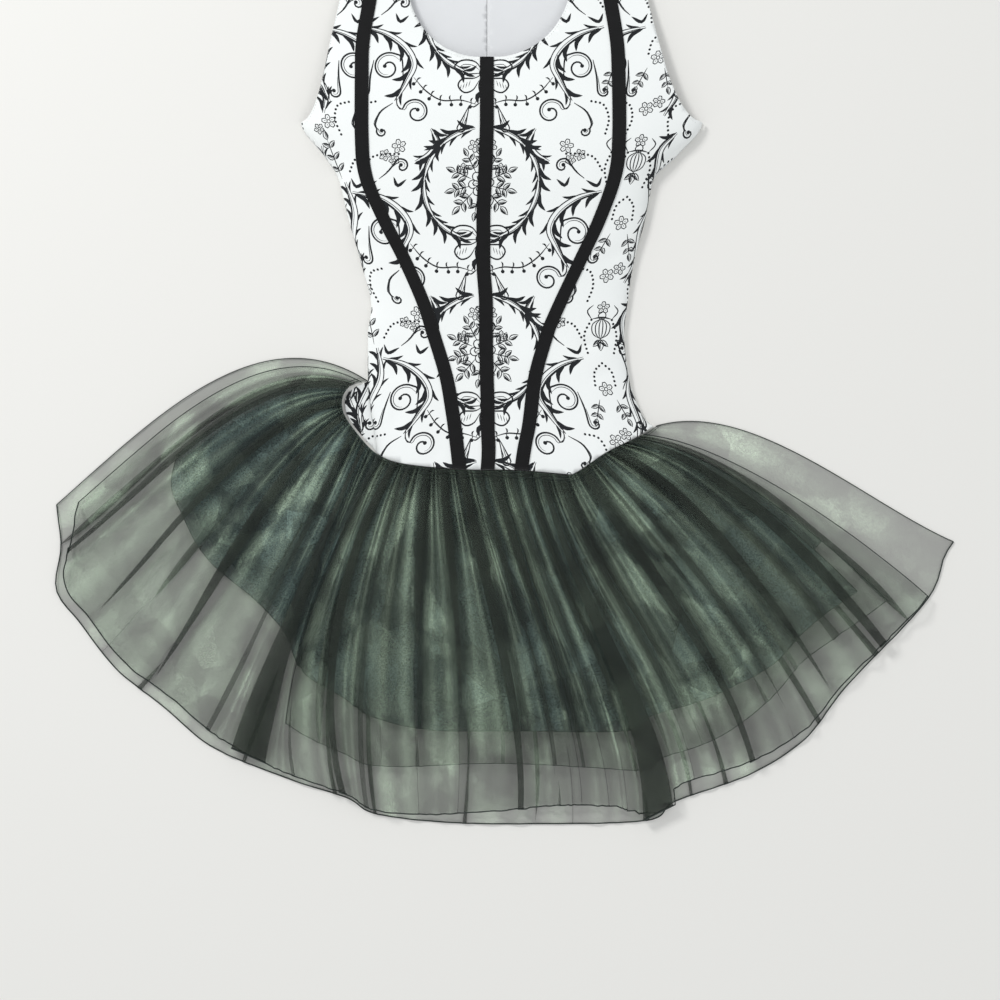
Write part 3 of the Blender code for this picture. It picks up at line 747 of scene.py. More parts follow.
class RolledFront:
    """Cloth coordinates of the front, whose sides roll down: run across from the centre, and Y."""

    step = 3.0
    low = -24
    high = 612
    angles = np.linspace(-90, 90, 361)

    def __init__(self):
        self.rows = np.arange(self.low, self.high, self.step)
        turn = np.sin(np.radians(self.angles))
        self.plan, self.run = [], []
        for y in self.rows:
            left, right = bodice_line("side_left", y), bodice_line("side_right", y)
            plan = (left + right) / 2 + (right - left) / 2 * turn
            height = dome(plan, np.full_like(plan, y))
            run = np.concatenate(([0.0], np.cumsum(np.hypot(np.diff(plan), np.diff(height)))))
            self.plan.append(plan)
            self.run.append(run - np.interp(bodice_line("center", y), plan, run))

    def between_rows(self, value, y, keys, values):
        """Value looked up along the two nearest rows and blended."""
        at = np.clip((y - self.rows[0]) / self.step, 0, len(self.rows) - 1.001)
        row = int(at)
        low = np.interp(value, keys[row], values[row])
        high = np.interp(value, keys[row + 1], values[row + 1])
        return low + (high - low) * (at - row)

    def to_cloth(self, points):
        """Cloth coordinates of plan points."""
        return np.array([(self.between_rows(x, y, self.plan, self.run), y) for x, y in points])

    def to_space(self, points):
        """Points in space of cloth coordinates."""
        plan = np.array([(self.between_rows(u, y, self.run, self.plan), y) for u, y in points])
        x, y = plan.T
        return np.stack((x, y, front_height(x, y)), axis=-1)


class FlatBack:
    """Cloth coordinates of the back, which lies flat with its outer face down."""

    def to_cloth(self, points):
        """Cloth coordinates of plan points."""
        return np.stack((points[:, 0] - bodice_line("center", points[:, 1]), points[:, 1]), axis=-1)

    def to_space(self, points):
        """Points in space of cloth coordinates."""
        x = points[:, 0] + bodice_line("center", points[:, 1])
        return np.stack((x, points[:, 1], np.zeros_like(x)), axis=-1)


# Creases of the front: from and to in plan, then depth and width
CREASE_FADE = 0.4
CREASE_LEAST_HEIGHT = 6
CREASES = [
    (-118, 150, -70, 132, 1.5, 7), (-122, 118, -84, 108, 1.2, 6), (146, 158, 98, 138, 1.6, 7),
    (152, 118, 112, 104, 1.2, 6), (-150, 268, -118, 246, 1.2, 8), (168, 262, 128, 236, 1.4, 8),
    (186, 28, 150, 62, 1.4, 8), (-112, 40, -96, 84, 1.1, 7), (-60, 6, -54, 40, 0.9, 5),
    (70, 5, 66, 44, 0.9, 5), (120, 20, 108, 60, 1.1, 6), (-196, 392, -158, 330, 1.8, 10),
    (232, 392, 190, 326, 1.8, 10),
]


def front_height(x, y):
    """Height of the front's outer face with its creases."""
    height = dome(x, y)
    for from_x, from_y, to_x, to_y, depth, width in CREASES:
        run = np.array([to_x - from_x, to_y - from_y], dtype=float)
        length = np.hypot(*run)
        ahead = ((x - from_x) * run[0] + (y - from_y) * run[1]) / length
        aside = ((x - from_x) * -run[1] + (y - from_y) * run[0]) / length
        fade = ease(ahead / (CREASE_FADE * length)) * ease((length - ahead) / (CREASE_FADE * length))
        room = 1 - np.exp(-height / CREASE_LEAST_HEIGHT)
        height = height - depth * fade * np.exp(-((aside / width) ** 2)) * room
    return height


def inside_box(mark, low, high):
    """True where a mark touches a box in cloth coordinates."""
    across, up = mark.real, mark.imag
    return across.max() > low[0] and across.min() < high[0] and up.max() > low[1] and up.min() < high[1]


def lean_over(mark, sign, share):
    """A mark moved with the lean of a side panel's grain."""
    return mark + sign * share * table_curve(PRINT_LEAN, mark.imag)


def panel_plan(columns):
    """Plan points of a panel, a row for each share of its height."""
    return panel_points(columns, PANEL_ROWS, lambda x, y: 0 * x)[..., :2]


def panel_outline(columns, cloth):
    """Closed outline of a panel in cloth coordinates, and its side edges."""
    grid = panel_plan(columns)
    loop = np.concatenate((grid[0, :-1], grid[:-1, -1], grid[-1, :0:-1], grid[:0:-1, 0]))
    return cloth.to_cloth(loop), cloth.to_cloth(grid[:, 0]), cloth.to_cloth(grid[:, -1])


def cloth_grid(low, high, edges):
    """Points spread over a panel, closer together near its edges."""
    across = np.arange(low[0], high[0], CLOTH_SPACING)
    up = np.arange(low[1], high[1], CLOTH_SPACING)
    points = [(u + 0.5 * CLOTH_SPACING * (j % 2), v) for j, v in enumerate(up) for u in across]
    middle = (low[0] + high[0]) / 2
    for edge in edges:
        for inset in ROLL_SPACING:
            inward = np.sign(middle - edge[:, 0]) * inset
            points += [(u + d, v) for (u, v), d in zip(edge, inward)]
    return points


def within(outline, points):
    """True for each point that lies inside a closed outline."""
    inside = np.zeros(len(points), dtype=bool)
    for (x1, y1), (x2, y2) in zip(outline, np.roll(outline, -1, axis=0)):
        if y1 == y2:
            continue
        crosses = (points[:, 1] < y1) != (points[:, 1] < y2)
        inside ^= crosses & (points[:, 0] < x1 + (points[:, 1] - y1) * (x2 - x1) / (y2 - y1))
    return inside


def inked(marks, points):
    """True for each point that one of the print's marks covers."""
    order = np.argsort(points[:, 1])
    heights = points[order, 1]
    covered = np.zeros(len(points), dtype=bool)
    for mark in marks:
        corners = np.stack((mark[:-1, 0], mark[1:, 0], mark[1:, 1], mark[:-1, 1]), axis=-1)
        for quad in corners:
            low, high = np.searchsorted(heights, (quad.imag.min(), quad.imag.max()))
            near = order[low:high]
            ahead = np.roll(quad, -1) - quad
            offset = points[near, 0, None] + 1j * points[near, 1, None] - quad
            turn = (np.conj(ahead) * offset).imag
            covered[near] |= (turn >= 0).all(axis=1) | (turn <= 0).all(axis=1)
    return covered


def triangulate(outline, marks, extra):
    """Flat points and triangles inside an outline, with edges along every mark."""
    points = [tuple(point) for point in outline]
    edges = [(i, (i + 1) % len(outline)) for i in range(len(outline))]
    for mark in marks:
        first = len(points)
        loop = np.concatenate((mark[:, 0], mark[::-1, 1]))
        points += list(zip(loop.real, loop.imag))
        edges += [(first + i, first + (i + 1) % len(loop)) for i in range(len(loop))]
    points = [Vector(point) for point in points + extra]
    flat, _, triangles, *_ = delaunay_2d_cdt(points, edges, [], 0, MERGE_DISTANCE, False)
    flat = np.array([tuple(point) for point in flat])
    triangles = np.array([tuple(triangle) for triangle in triangles])
    triangles = triangles[within(outline, flat[triangles].mean(axis=1))]
    used, renumbered = np.unique(triangles, return_inverse=True)
    return flat[used], renumbered.reshape(triangles.shape)


def rim_loop(triangles):
    """Corners round the border of a triangulated panel, in order."""
    sides = np.concatenate((triangles[:, :2], triangles[:, 1:], triangles[:, ::-2]))
    edges = {tuple(side) for side in sides}
    following = {a: b for a, b in edges if (b, a) not in edges}
    loop = [next(iter(following))]
    while following[loop[-1]] != loop[0]:
        loop.append(following[loop[-1]])
    return loop


def shell_normals(space, triangles):
    """Unit normals at the points of a triangulated surface."""
    a, b, c = (space[triangles[:, i]] for i in range(3))
    facing = np.cross(b - a, c - a)
    total = np.zeros_like(space)
    for i in range(3):
        np.add.at(total, triangles[:, i], facing)
    return total / np.maximum(np.linalg.norm(total, axis=1, keepdims=True), 1e-12)


def make_mesh(name, points, faces, *materials):
    """Mesh of points in millimetres from the seam's middle, moved into the frame."""
    mesh = bpy.data.meshes.new(name)
    mesh.from_pydata(((points - FRAME_CENTER) * MM).tolist(), [], faces)
    for material in materials:
        mesh.materials.append(material)
    return mesh


def joined(*groups):
    """Points and faces of several groups, as one array and one list."""
    faces = []
    first = 0
    for points, group_faces in groups:
        faces += [tuple(first + corner for corner in face) for face in group_faces]
        first += len(points)
    return np.concatenate([points for points, _ in groups]), faces


def printed_panel(name, columns, cloth, marks, sign, lean, outside, turned=False):
    """Bodice panel: an outer face that carries the print, a plain lining and the rim between."""
    outline, near, far = panel_outline(columns, cloth)
    low, high = outline.min(axis=0), outline.max(axis=0)
    marks = [lean_over(mark, sign, lean) for mark in marks]
    marks = [mark for mark in marks if inside_box(mark, low, high)]
    grid = cloth_grid(low, high, (near, far))
    flat, triangles = triangulate(outline, marks, grid)
    ink = inked(marks, flat[triangles].mean(axis=1))
    loop = rim_loop(triangles)
    shown = [mark for mark in marks if turned and inside_box(mark, low, (TURNED_EDGE, TURNED_TOP))]
    lining_flat, lining = triangulate(flat[loop], shown, grid)
    lining_middle = lining_flat[lining].mean(axis=1)
    turned_out = turned & (lining_middle[:, 0] < TURNED_EDGE) & (lining_middle[:, 1] < TURNED_TOP)
    lining_slots = np.where(turned_out, inked(shown, lining_middle).astype(int), 2)
    outer = cloth.to_space(flat)
    inner = cloth.to_space(lining_flat)
    inner -= shell_normals(inner, lining) * SHELL_WALL * outside
    number = {tuple(np.round(point, 4)): i for i, point in enumerate(lining_flat)}
    inner_loop = [len(outer) + number[tuple(np.round(flat[corner], 4))] for corner in loop]
    rim = [(a, c, d, b) for a, b, c, d in zip(loop, loop[1:] + loop[:1], inner_loop,
                                              inner_loop[1:] + inner_loop[:1])]
    faces = [tuple(face) for face in triangles]
    faces += [tuple(face[::-1] + len(outer)) for face in lining] + rim
    faces = [tuple(int(corner) for corner in face[::outside]) for face in faces]
    mesh = make_mesh(name, np.concatenate((outer, inner)), faces, WHITE_CLOTH, INK, BODICE_LINING)
    slots = np.concatenate((ink.astype(int), lining_slots, np.zeros(len(rim), dtype=int)))
    mesh.polygons.foreach_set("material_index", slots.tolist())
    mesh.shade_smooth()
    return finish_piece(name + "_cloth", mesh, name)


def edge_stitch_path(columns, cloth, outside):
    """Path of the topstitching just inside a panel's upper edge."""
    edge = panel_plan(columns)[-1] - (0, EDGE_STITCH_INSET)
    path = cloth.to_space(cloth.to_cloth(edge)) + (0, 0, STITCH_RADIUS / 2)
    if outside < 0:
        path[:, 2] += SHELL_WALL
    return path


def finish_piece(name, mesh, node):
    """Piece that stands for one of the frame's nodes."""
    piece = bpy.data.objects.new(name, mesh)
    bpy.context.scene.collection.objects.link(piece)
    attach(piece, "root")
    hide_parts(node)
    return piece


def build_bodice():
    """Printed front and back panels; gives each one's path of edge stitches by its name."""
    marks = cloth_print()
    rolled = RolledFront()
    flat = FlatBack()
    paths = {}
    for half, sign in (("left", -1), ("right", 1)):
        back = back_columns(half, sign)
        if half == "left":
            back = with_hip_corner(back)
        for name, columns, cloth, lean, outside in (
            ("bodice_front_center_" + half, center_columns(half, sign), rolled, 0.0, 1),
            ("bodice_side_front_" + half, side_columns(half, sign), rolled, 1.0, 1),
            ("bodice_back_" + half, back, flat, 0.5, -1),
        ):
            turned = name == "bodice_back_left"
            panel = printed_panel(name, columns, cloth, marks, sign, lean, outside, turned)
            paths[name] = edge_stitch_path(columns, cloth, outside)
    return paths


def build_edge_stitches(paths):
    """Topstitching along the neckline, the shoulders and the armholes."""
    for name, path in paths.items():
        mesh = make_mesh(name + "_stitches", *stitches(path), WHITE_THREAD)
        piece = bpy.data.objects.new(name + "_stitches", mesh)
        bpy.context.scene.collection.objects.link(piece)
        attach(piece, "root")


def ribbon_columns(line, tops):
    """Columns across a ribbon's width."""
    columns = []
    for share in RIBBON_SHARES:
        offset = share * RIBBON_WIDTH / 2
        top = np.interp(share, (-1, 0, 1), tops)
        columns.append(((lambda y, offset=offset: bodice_line(line, y) + offset), top))
    return columns


def ribbon_height(x, y):
    """A ribbon lies just off the front's face."""
    return front_height(x, y) + SEAM_GAP


def stitches(path):
    """Points and faces of a row of short stitches along a path."""
    step = np.linalg.norm(np.diff(path, axis=0), axis=1)
    run = np.concatenate(([0.0], np.cumsum(step)))
    points, faces = [], []
    for start in np.arange(STITCH_PITCH / 2, run[-1] - STITCH_PITCH, STITCH_PITCH):
        tip, tail = (np.array([np.interp(at, run, path[:, i]) for i in range(3)])
                     for at in (start, start + STITCH_LENGTH))
        ahead = (tail - tip) / np.linalg.norm(tail - tip)
        side = np.cross(ahead, (0.0, 0.0, 1.0)) * STITCH_RADIUS
        up = np.cross(side, ahead)
        middle = (tip + tail) / 2
        faces += [tuple(len(points) + corner for corner in face) for face in STITCH_FACES]
        points += [tip, tail, middle + side, middle - side, middle + up, middle - up]
    return np.array(points), faces


def grid_faces(rows, columns, first=0):
    """Quads over a grid of points."""
    faces = []
    for i in range(rows - 1):
        for j in range(columns - 1):
            corner = first + i * columns + j
            faces.append((corner, corner + 1, corner + columns + 1, corner + columns))
    return faces


def ribbon_faces(rows, columns):
    """Faces of a ribbon: the lower side's points come first, then the upper side's."""
    count = rows * columns
    faces = grid_faces(rows, columns, count) + [face[::-1] for face in grid_faces(rows, columns)]
    number = np.arange(count).reshape(rows, columns)
    border = np.concatenate((number[:, 0], number[-1, 1:], number[-2::-1, -1], number[0, -2:0:-1])).tolist()
    return faces + [(a, b, b + count, a + count) for a, b in zip(border, border[1:] + border[:1])]


def build_ribbons():
    """Velvet ribbons over the centre front and princess seams."""
    seams = (
        ("trim_left", "princess_left", (SHOULDER_SEAM_Y - 1, SHOULDER_SEAM_Y, SHOULDER_SEAM_Y + 1)),
        ("trim_center", "center", (FRONT_NECK_Y, FRONT_NECK_Y, FRONT_NECK_Y)),
        ("trim_right", "princess_right", (SHOULDER_SEAM_Y + 1, SHOULDER_SEAM_Y, SHOULDER_SEAM_Y - 1)),
    )
    for name, line, tops in seams:
        lower = panel_points(ribbon_columns(line, tops), RIBBON_ROWS, ribbon_height)
        lower[..., 2] += RIBBON_CROWN * (1 - RIBBON_SHARES ** 4)
        upper = lower + (0, 0, RIBBON_PILE)
        cloth_faces = ribbon_faces(*lower.shape[:2])
        rows_of_stitches = [stitches(upper[:, edge] + (0, 0, RIBBON_STITCH_LIFT)) for edge in (1, -2)]
        ribbon = (np.concatenate((lower, upper)).reshape(-1, 3), cloth_faces)
        mesh = make_mesh(name, *joined(ribbon, *rows_of_stitches), VELVET, RIBBON_THREAD)
        for polygon in mesh.polygons[len(cloth_faces):]:
            polygon.material_index = 1
        mesh.shade_smooth()
        piece = finish_piece(name + "_ribbon", mesh, name)


# Small creases: waves that cross, the angle from one to the next, their pitches and how they bend
CRUMPLE_WAVES = 5
CRUMPLE_FIRST_ANGLE = 0.7
CRUMPLE_TURN = 1.9
CRUMPLE_LEAST_PITCH = 46
CRUMPLE_PITCH_STEP = 17
CRUMPLE_BEND = 0.8
CRUMPLE_BEND_PITCH = 1.3


def crumple(x, y, seed):
    """Sharp small creases of crisp organza, from -1 to 1."""
    total = np.zeros_like(x)
    for k in range(CRUMPLE_WAVES):
        angle = CRUMPLE_FIRST_ANGLE + CRUMPLE_TURN * k + seed
        pitch = CRUMPLE_LEAST_PITCH + CRUMPLE_PITCH_STEP * ((k * 37 + seed * 11) % CRUMPLE_WAVES)
        along_wave = (x * np.cos(angle) + y * np.sin(angle)) / pitch
        across_wave = (x * np.sin(angle) - y * np.cos(angle)) / (pitch * CRUMPLE_BEND_PITCH)
        bend = CRUMPLE_BEND * np.sin(across_wave + k)
        total = total + 1 - 2 * np.abs(np.sin(along_wave * np.pi + bend))
    return total / CRUMPLE_WAVES


# Facets: how wide and long they are, where they fan out from, and how far their grid sways
FACET_DEGREES = 7.5
FACET_LENGTH = 62
FACET_FAN_Y = 90
FACET_SWAY = 0.35
FACET_SWAY_EVERY = 31
FACET_SHIFT = 0.4
FACET_SHIFT_EVERY = 47
# Numbers that scatter the facets' places and shades with no pattern
FACET_KEY = (12.9898, 78.233, 37.719)
SCATTER_ACROSS = (1, 0, 43758.5453)
SCATTER_DOWN = (1.31, 2, 24634.6345)
SCATTER_SHADE = (0.73, 5, 9631.17)


def scatter(key, factor, offset, size):
    """Value from 0 to 1 that differs from key to key with no pattern."""
    return np.sin(key * factor + offset) * size % 1


def facets(x, y, seed):
    """Flat patches of crumpled cloth that catch the light differently, from 0 to 1."""
    sway = FACET_SWAY * np.sin(y / FACET_SWAY_EVERY + seed)
    shift = FACET_SHIFT * np.sin(x / FACET_SHIFT_EVERY + seed)
    across = np.degrees(np.arctan2(x, FACET_FAN_Y - y)) / FACET_DEGREES + sway
    down = np.hypot(x, y - FACET_FAN_Y) / FACET_LENGTH + shift
    nearest = np.full(x.shape, np.inf)
    value = np.zeros_like(x)
    for i in (-1, 0, 1):
        for j in (-1, 0, 1):
            cell_x, cell_y = np.floor(across) + i, np.floor(down) + j
            key = cell_x * FACET_KEY[0] + cell_y * FACET_KEY[1] + seed * FACET_KEY[2]
            cell_x = cell_x + scatter(key, *SCATTER_ACROSS)
            cell_y = cell_y + scatter(key, *SCATTER_DOWN)
            distance = np.hypot(across - cell_x, down - cell_y)
            value = np.where(distance < nearest, scatter(key, *SCATTER_SHADE), value)
            nearest = np.minimum(nearest, distance)
    return value


def tube(path, radius, sides=6):
    """Points and quads of a cord along a path."""
    ahead = np.gradient(path, axis=0)
    ahead /= np.linalg.norm(ahead, axis=1, keepdims=True)
    points, faces = [], []
    side = np.cross(ahead[0], (0.0, 0.0, 1.0))
    for i, (center, direction) in enumerate(zip(path, ahead)):
        side = side - direction * (side @ direction)
        side /= np.linalg.norm(side)
        up = np.cross(direction, side)
        for k in range(sides):
            turn = 2 * math.pi * k / sides
            points.append(center + radius * (math.cos(turn) * side + math.sin(turn) * up))
        if i:
            for k in range(sides):
                a, b = (i - 1) * sides + k, (i - 1) * sides + (k + 1) % sides
                faces.append((a, b, b + sides, a + sides))
    return np.array(points), faces


# Looks of each skirt layer: its cloth, its cut's flat width, length and area, its small creases and
# fine gathers, and where its creases begin
SKIRT_LOOKS = {
    "columns": ("cloth", "width", "length", "area", "crumple", "fine", "seed"),
    "skirt_outer_back": ("organza_back", 1.50, 0.43, 0.52, 0.5, 0.5, 1),
    "skirt_lining_back": ("lining", 0.95, 0.31, 0.24, 0.3, 0.5, 2),
    "skirt_lining_front": ("lining", 1.10, 0.33, 0.29, 0.5, 0.6, 3),
    "skirt_mid_front": ("organza_middle", 1.10, 0.37, 0.29, 0.5, 0.6, 4),
    "skirt_outer_front": ("organza_front", 1.90, 0.43, 0.66, 1.1, 1.3, 5),
}
FINE_GATHERS = 3
FINE_GATHER_ROWS = 0.55
CREASE_ROWS = 0.15
CLEAR_OF_LAYER_BELOW = 0.4
HEM_RADIUS = 0.75
INNER_HEM_RADIUS = 0.4
SIDE_SEAM_RADIUS = 0.5
THREAD_RADIUS = 0.22
GATHER_THREAD_ROWS = (1, 2)

# Painted highlight on the skirt: how much lighter broad gathers, fine gathers, creases and facets paint the
# cloth
PAINTED_SHEEN_BROAD = 0.42
PAINTED_SHEEN_FINE = 0.14
PAINTED_SHEEN_CREASE = 0.24
PAINTED_SHEEN_FACET = 0.46
PAINTED_SHEEN_BROAD_AT_HEM = 0.6
PAINTED_SHADING_POWER = 2.0

# Folds of the outer front layer: where they start and end, their width at FOLD_ROWS, their turns
FOLD_ROWS = (0.0, 0.2, 0.4, 0.6, 0.8, 1.0)
FRONT_FOLDS = [
    (0.052, 0.050, (5, 9, 12, 12, 8, 4), 4),
    (0.092, 0.100, (5, 9, 8, 6, 3, 0), 4),
    (0.130, 0.150, (5, 8, 12, 9, 4, 0), 4),
    (0.172, 0.195, (4, 7, 4, 3, 5, 4), 2),
    (0.215, 0.235, (3, 5, 12, 22, 34, 42), 4),
    (0.262, 0.280, (4, 3, 0, 0, 2, 3), 2),
    (0.305, 0.325, (5, 7, 8, 7, 6, 7), 4),
    (0.345, 0.348, (5, 3, 2, 4, 5, 4), 2),
    (0.388, 0.396, (4, 7, 4, 0, 0, 0), 2),
    (0.430, 0.430, (7, 9, 5, 2, 0, 0), 4),
    (0.475, 0.490, (6, 9, 10, 9, 6, 5), 4),
    (0.520, 0.535, (4, 6, 3, 0, 0, 3), 2),
    (0.560, 0.566, (7, 8, 2, 0, 0, 0), 4),
    (0.600, 0.600, (4, 5, 7, 3, 0, 0), 2),
    (0.640, 0.622, (5, 6, 3, 0, 0, 0), 2),
    (0.680, 0.655, (4, 7, 12, 20, 31, 38), 4),
    (0.725, 0.715, (6, 8, 5, 3, 0, 0), 2),
    (0.785, 0.780, (8, 11, 11, 9, 6, 5), 4),
    (0.830, 0.826, (4, 6, 8, 4, 2, 0), 2),
    (0.872, 0.868, (5, 8, 9, 8, 4, 0), 4),
    (0.925, 0.918, (6, 9, 11, 12, 10, 8), 4),
]
SMALL_FOLDS = {
    "skirt_outer_back": 15, "skirt_lining_back": 9, "skirt_lining_front": 17, "skirt_mid_front": 12,
}
# Inner folds: width, how uneven it is, and how much wider the folds are towards the sides
SMALL_FOLD_WIDTH = 2.0
SMALL_FOLD_UNEVEN = 2.6
SMALL_FOLD_SCATTER = 0.28
SMALL_FOLD_SWAY = 0.008
# Angles from one inner fold, and from one row, to the next, which keep the folds apart in kind
PLACE_TURN = 2.1
WIDTH_TURNS = (1.3, 1.1)
GAP_TURNS = (0.9, 0.8)
GAP_LEVEL = -0.55
SWAY_TURN = 1.7
FOLD_SHARE_STEP = 0.002
FOLD_LEVEL = 0.97
FOLD_OPEN_WIDTH = 3.0
FOLD_ENTRY = 2.0
FOLD_EXIT = 3.0
FOLD_TAIL = 0.45
# Painted shade: the folds get the darkest painted light value
FOLD_PAINTED_SHADE = 0.0
FRONT_FOLD_RADIUS = 0.75
SMALL_FOLD_RADIUS = 0.28
WING_FOLD_GROWTH = 1.8


def small_folds(name):
    """Uneven narrow folds of an inner or back layer."""
    layer, count = LAYERS[name], SMALL_FOLDS[name]
    number = np.arange(count)
    at = (number + 0.5 + SMALL_FOLD_SCATTER * np.sin(PLACE_TURN * number + layer["phase"])) / count
    seam = layer["start"] + (layer["end"] - layer["start"]) * at
    number, row = number[:, None], np.arange(len(FOLD_ROWS))
    uneven = np.abs(np.sin(WIDTH_TURNS[0] * number + WIDTH_TURNS[1] * row + layer["phase"]))
    widths = SMALL_FOLD_WIDTH + SMALL_FOLD_UNEVEN * uneven
    widths = widths * (np.sin(GAP_TURNS[0] * number + GAP_TURNS[1] * row) > GAP_LEVEL)
    widths = widths * (1 + WING_FOLD_GROWTH * np.abs(2 * at[:, None] - 1) ** 3)
    return [(share, share + SMALL_FOLD_SWAY * math.sin(SWAY_TURN * i), tuple(width), 2)
            for i, (share, width) in enumerate(zip(seam, widths))]


def fold_section(width, radius, turns):
    """Cross and height offsets of a sheet that doubles back on itself once for each turn."""
    opened = ease(width / FOLD_OPEN_WIDTH)
    angle = np.radians(np.linspace(-90, 90, FOLD_TURN_STEPS + 1))
    cross, height = [], []
    for i in range(turns):
        side = 1 - 2 * (i % 2)
        cross.append(side * (width / 2 + radius * np.cos(angle)))
        height.append(radius * (2 * i + 1 + np.sin(angle)))
    cross, height = np.concatenate(cross), np.concatenate(height)
    flat = np.linspace(-FOLD_LEAD / 2, FOLD_LEAD / 2, len(cross))
    cross = flat + (cross - flat) * opened
    before = cross[0] - FOLD_ENTRY - FOLD_TAIL * width
    cross = np.concatenate(([before], cross, [cross.max() + FOLD_EXIT]))
    return cross, np.concatenate(([0.0], height, [2 * turns * radius])) * opened


def gathered_run(name, start, end, count, done, level):
    """Stretch of a row between two folds, with its gathers' phases."""
    layer = LAYERS[name]
    steps, phases = gather_steps(layer, count, done)
    run = start + (end - start) * steps
    rows = level * hem_row(layer, run)
    height = stack_height(name, run, rows) + gather_wave(layer, phases + done, rows)
    return np.concatenate((fan(run, rows), height[:, None]), axis=-1), phases + done


def folded_row(name, folds, radius, level):
    """One row of a layer, from its left edge across every fold, with the gathers' phases."""
    layer = LAYERS[name]
    edges = [layer["start"]] + [fold[0] for fold in folds] + [layer["end"]]
    span = layer["end"] - layer["start"]
    counts = [max(1, round(width * layer["gathers"] / span)) for width in np.diff(edges)]
    nominal = level * FOLD_LEVEL
    step = FOLD_SHARE_STEP
    runs = []
    share = layer["start"]
    for i, (seam_share, hem_share, widths, turns) in enumerate(folds):
        middle = seam_share + (hem_share - seam_share) * nominal
        scale = np.linalg.norm(fan(middle + step, nominal) - fan(middle - step, nominal)) / (2 * step)
        width = float(table_curve(list(zip(FOLD_ROWS, widths)), nominal))
        end = middle - (width / 2 + FOLD_LEAD / 2 + FOLD_MARGIN) / scale
        runs.append(gathered_run(name, share, end, counts[i], sum(counts[:i]), level))
        cross, climb = fold_section(width, radius, turns)
        row = level * hem_row(layer, middle)
        aside = fan(middle + step, row) - fan(middle - step, row)
        plan = fan(middle, row) + cross[:, None] * aside / np.linalg.norm(aside)
        height = stack_height(name, middle + cross / scale, row) + climb
        runs.append((np.concatenate((plan, height[:, None]), axis=-1), np.full(len(cross), np.nan)))
        run_out = FOLD_MARGIN + FOLD_RUN_OUT * ease(nominal / FOLD_RUN_OUT_ROWS)
        share = middle + (width / 2 + FOLD_LEAD / 2 + run_out) / scale
    runs.append(gathered_run(name, share, layer["end"], counts[-1], sum(counts[:-1]), level))
    return [np.concatenate(parts) for parts in zip(*runs)]


def skirt_points(name):
    """Grid of a layer with its folds, small gathers and creases, and each point's painted light value:
    highlight on crests and creases, shade in valleys and folds.
    """
    front = name == "skirt_outer_front"
    folds = FRONT_FOLDS if front else small_folds(name)
    radius = FRONT_FOLD_RADIUS if front else SMALL_FOLD_RADIUS
    rows = [folded_row(name, folds, radius, level) for level in SKIRT_ROWS]
    points = np.array([row[0] for row in rows])
    phases = np.nan_to_num(rows[0][1])
    folded = np.isnan(rows[0][1])
    look = dict(zip(SKIRT_LOOKS["columns"], SKIRT_LOOKS[name]))
    row = SKIRT_ROWS[:, None]
    fading = 1 - ease(row / FINE_GATHER_ROWS)
    fine = np.sin(2 * np.pi * FINE_GATHERS * phases + 1.3 * np.sin(phases))
    creases = 0.5 + 0.5 * crumple(points[..., 0], points[..., 1], look["seed"])
    grown = ease(row / CREASE_ROWS)
    points[..., 2] += CLEAR_OF_LAYER_BELOW + look["fine"] * 0.5 * (1 + fine) * fading
    points[..., 2] += look["crumple"] * creases * grown
    # Painted light and shade: crests, creases and facets are painted lighter, valleys and folds darker
    broad = 0.5 - 0.5 * np.cos(2 * np.pi * phases)
    painted_shading = PAINTED_SHEEN_BROAD * broad * (PAINTED_SHEEN_BROAD_AT_HEM + (1 - PAINTED_SHEEN_BROAD_AT_HEM) * fading)
    painted_shading = painted_shading + PAINTED_SHEEN_FINE * (0.5 + 0.5 * fine) * fading
    painted_shading = painted_shading + PAINTED_SHEEN_CREASE * creases * grown
    painted_shading = painted_shading + PAINTED_SHEEN_FACET * facets(points[..., 0], points[..., 1], look["seed"]) * grown
    return points, np.where(folded, FOLD_PAINTED_SHADE, np.clip(painted_shading, 0, 1) ** PAINTED_SHADING_POWER)


def skirt_cords(points, outer):
    """Rolled hem, side seams and gathering threads of a layer."""
    hem_radius = HEM_RADIUS if outer else INNER_HEM_RADIUS
    cords = [tube(points[-1], hem_radius)]
    cords += [tube(points[:, side], SIDE_SEAM_RADIUS) for side in (0, -1)]
    return cords + [tube(points[row] + (0, 0, THREAD_RADIUS), THREAD_RADIUS) for row in GATHER_THREAD_ROWS]


def build_skirt():
    """Every skirt layer as a thin sheet with a rolled hem."""
    for name in LAYERS:
        look = dict(zip(SKIRT_LOOKS["columns"], SKIRT_LOOKS[name]))
        points, painted_shading = skirt_points(name)
        if points[0, 0, 0] > points[0, -1, 0]:
            points, painted_shading = points[:, ::-1], painted_shading[:, ::-1]
        sheet = (points.reshape(-1, 3), grid_faces(*painted_shading.shape))
        everything, faces = joined(sheet, *skirt_cords(points, "outer" in name))
        everything[:, 2] = np.maximum(everything[:, 2], 0.0)
        mesh = make_mesh(name, everything, faces, SKIRT_CLOTH[look["cloth"]], HEM_THREAD)
        for polygon in mesh.polygons[len(sheet[1]):]:
            polygon.material_index = 1
        # The painted light and shade value goes onto the mesh for the skirt's materials
        shade = mesh.attributes.new("painted_shading", "FLOAT", "POINT")
        values = np.concatenate((painted_shading.ravel(), np.zeros(len(everything) - painted_shading.size)))
        shade.data.foreach_set("value", values.tolist())
        mesh.shade_smooth()
        piece = finish_piece(name + "_sheet", mesh, name)


# Cloth's colour: size of the grain and of the patches of painted facet light and shade, and the range of
# the grain's noise
GRAIN_SIZE = 1.6
GRAIN_RANGE = (0.36, 0.64)
PATCH_SIZE = 52.0
# The wave texture turns this many radians in a unit of its scale
WAVE_RADIANS = 20


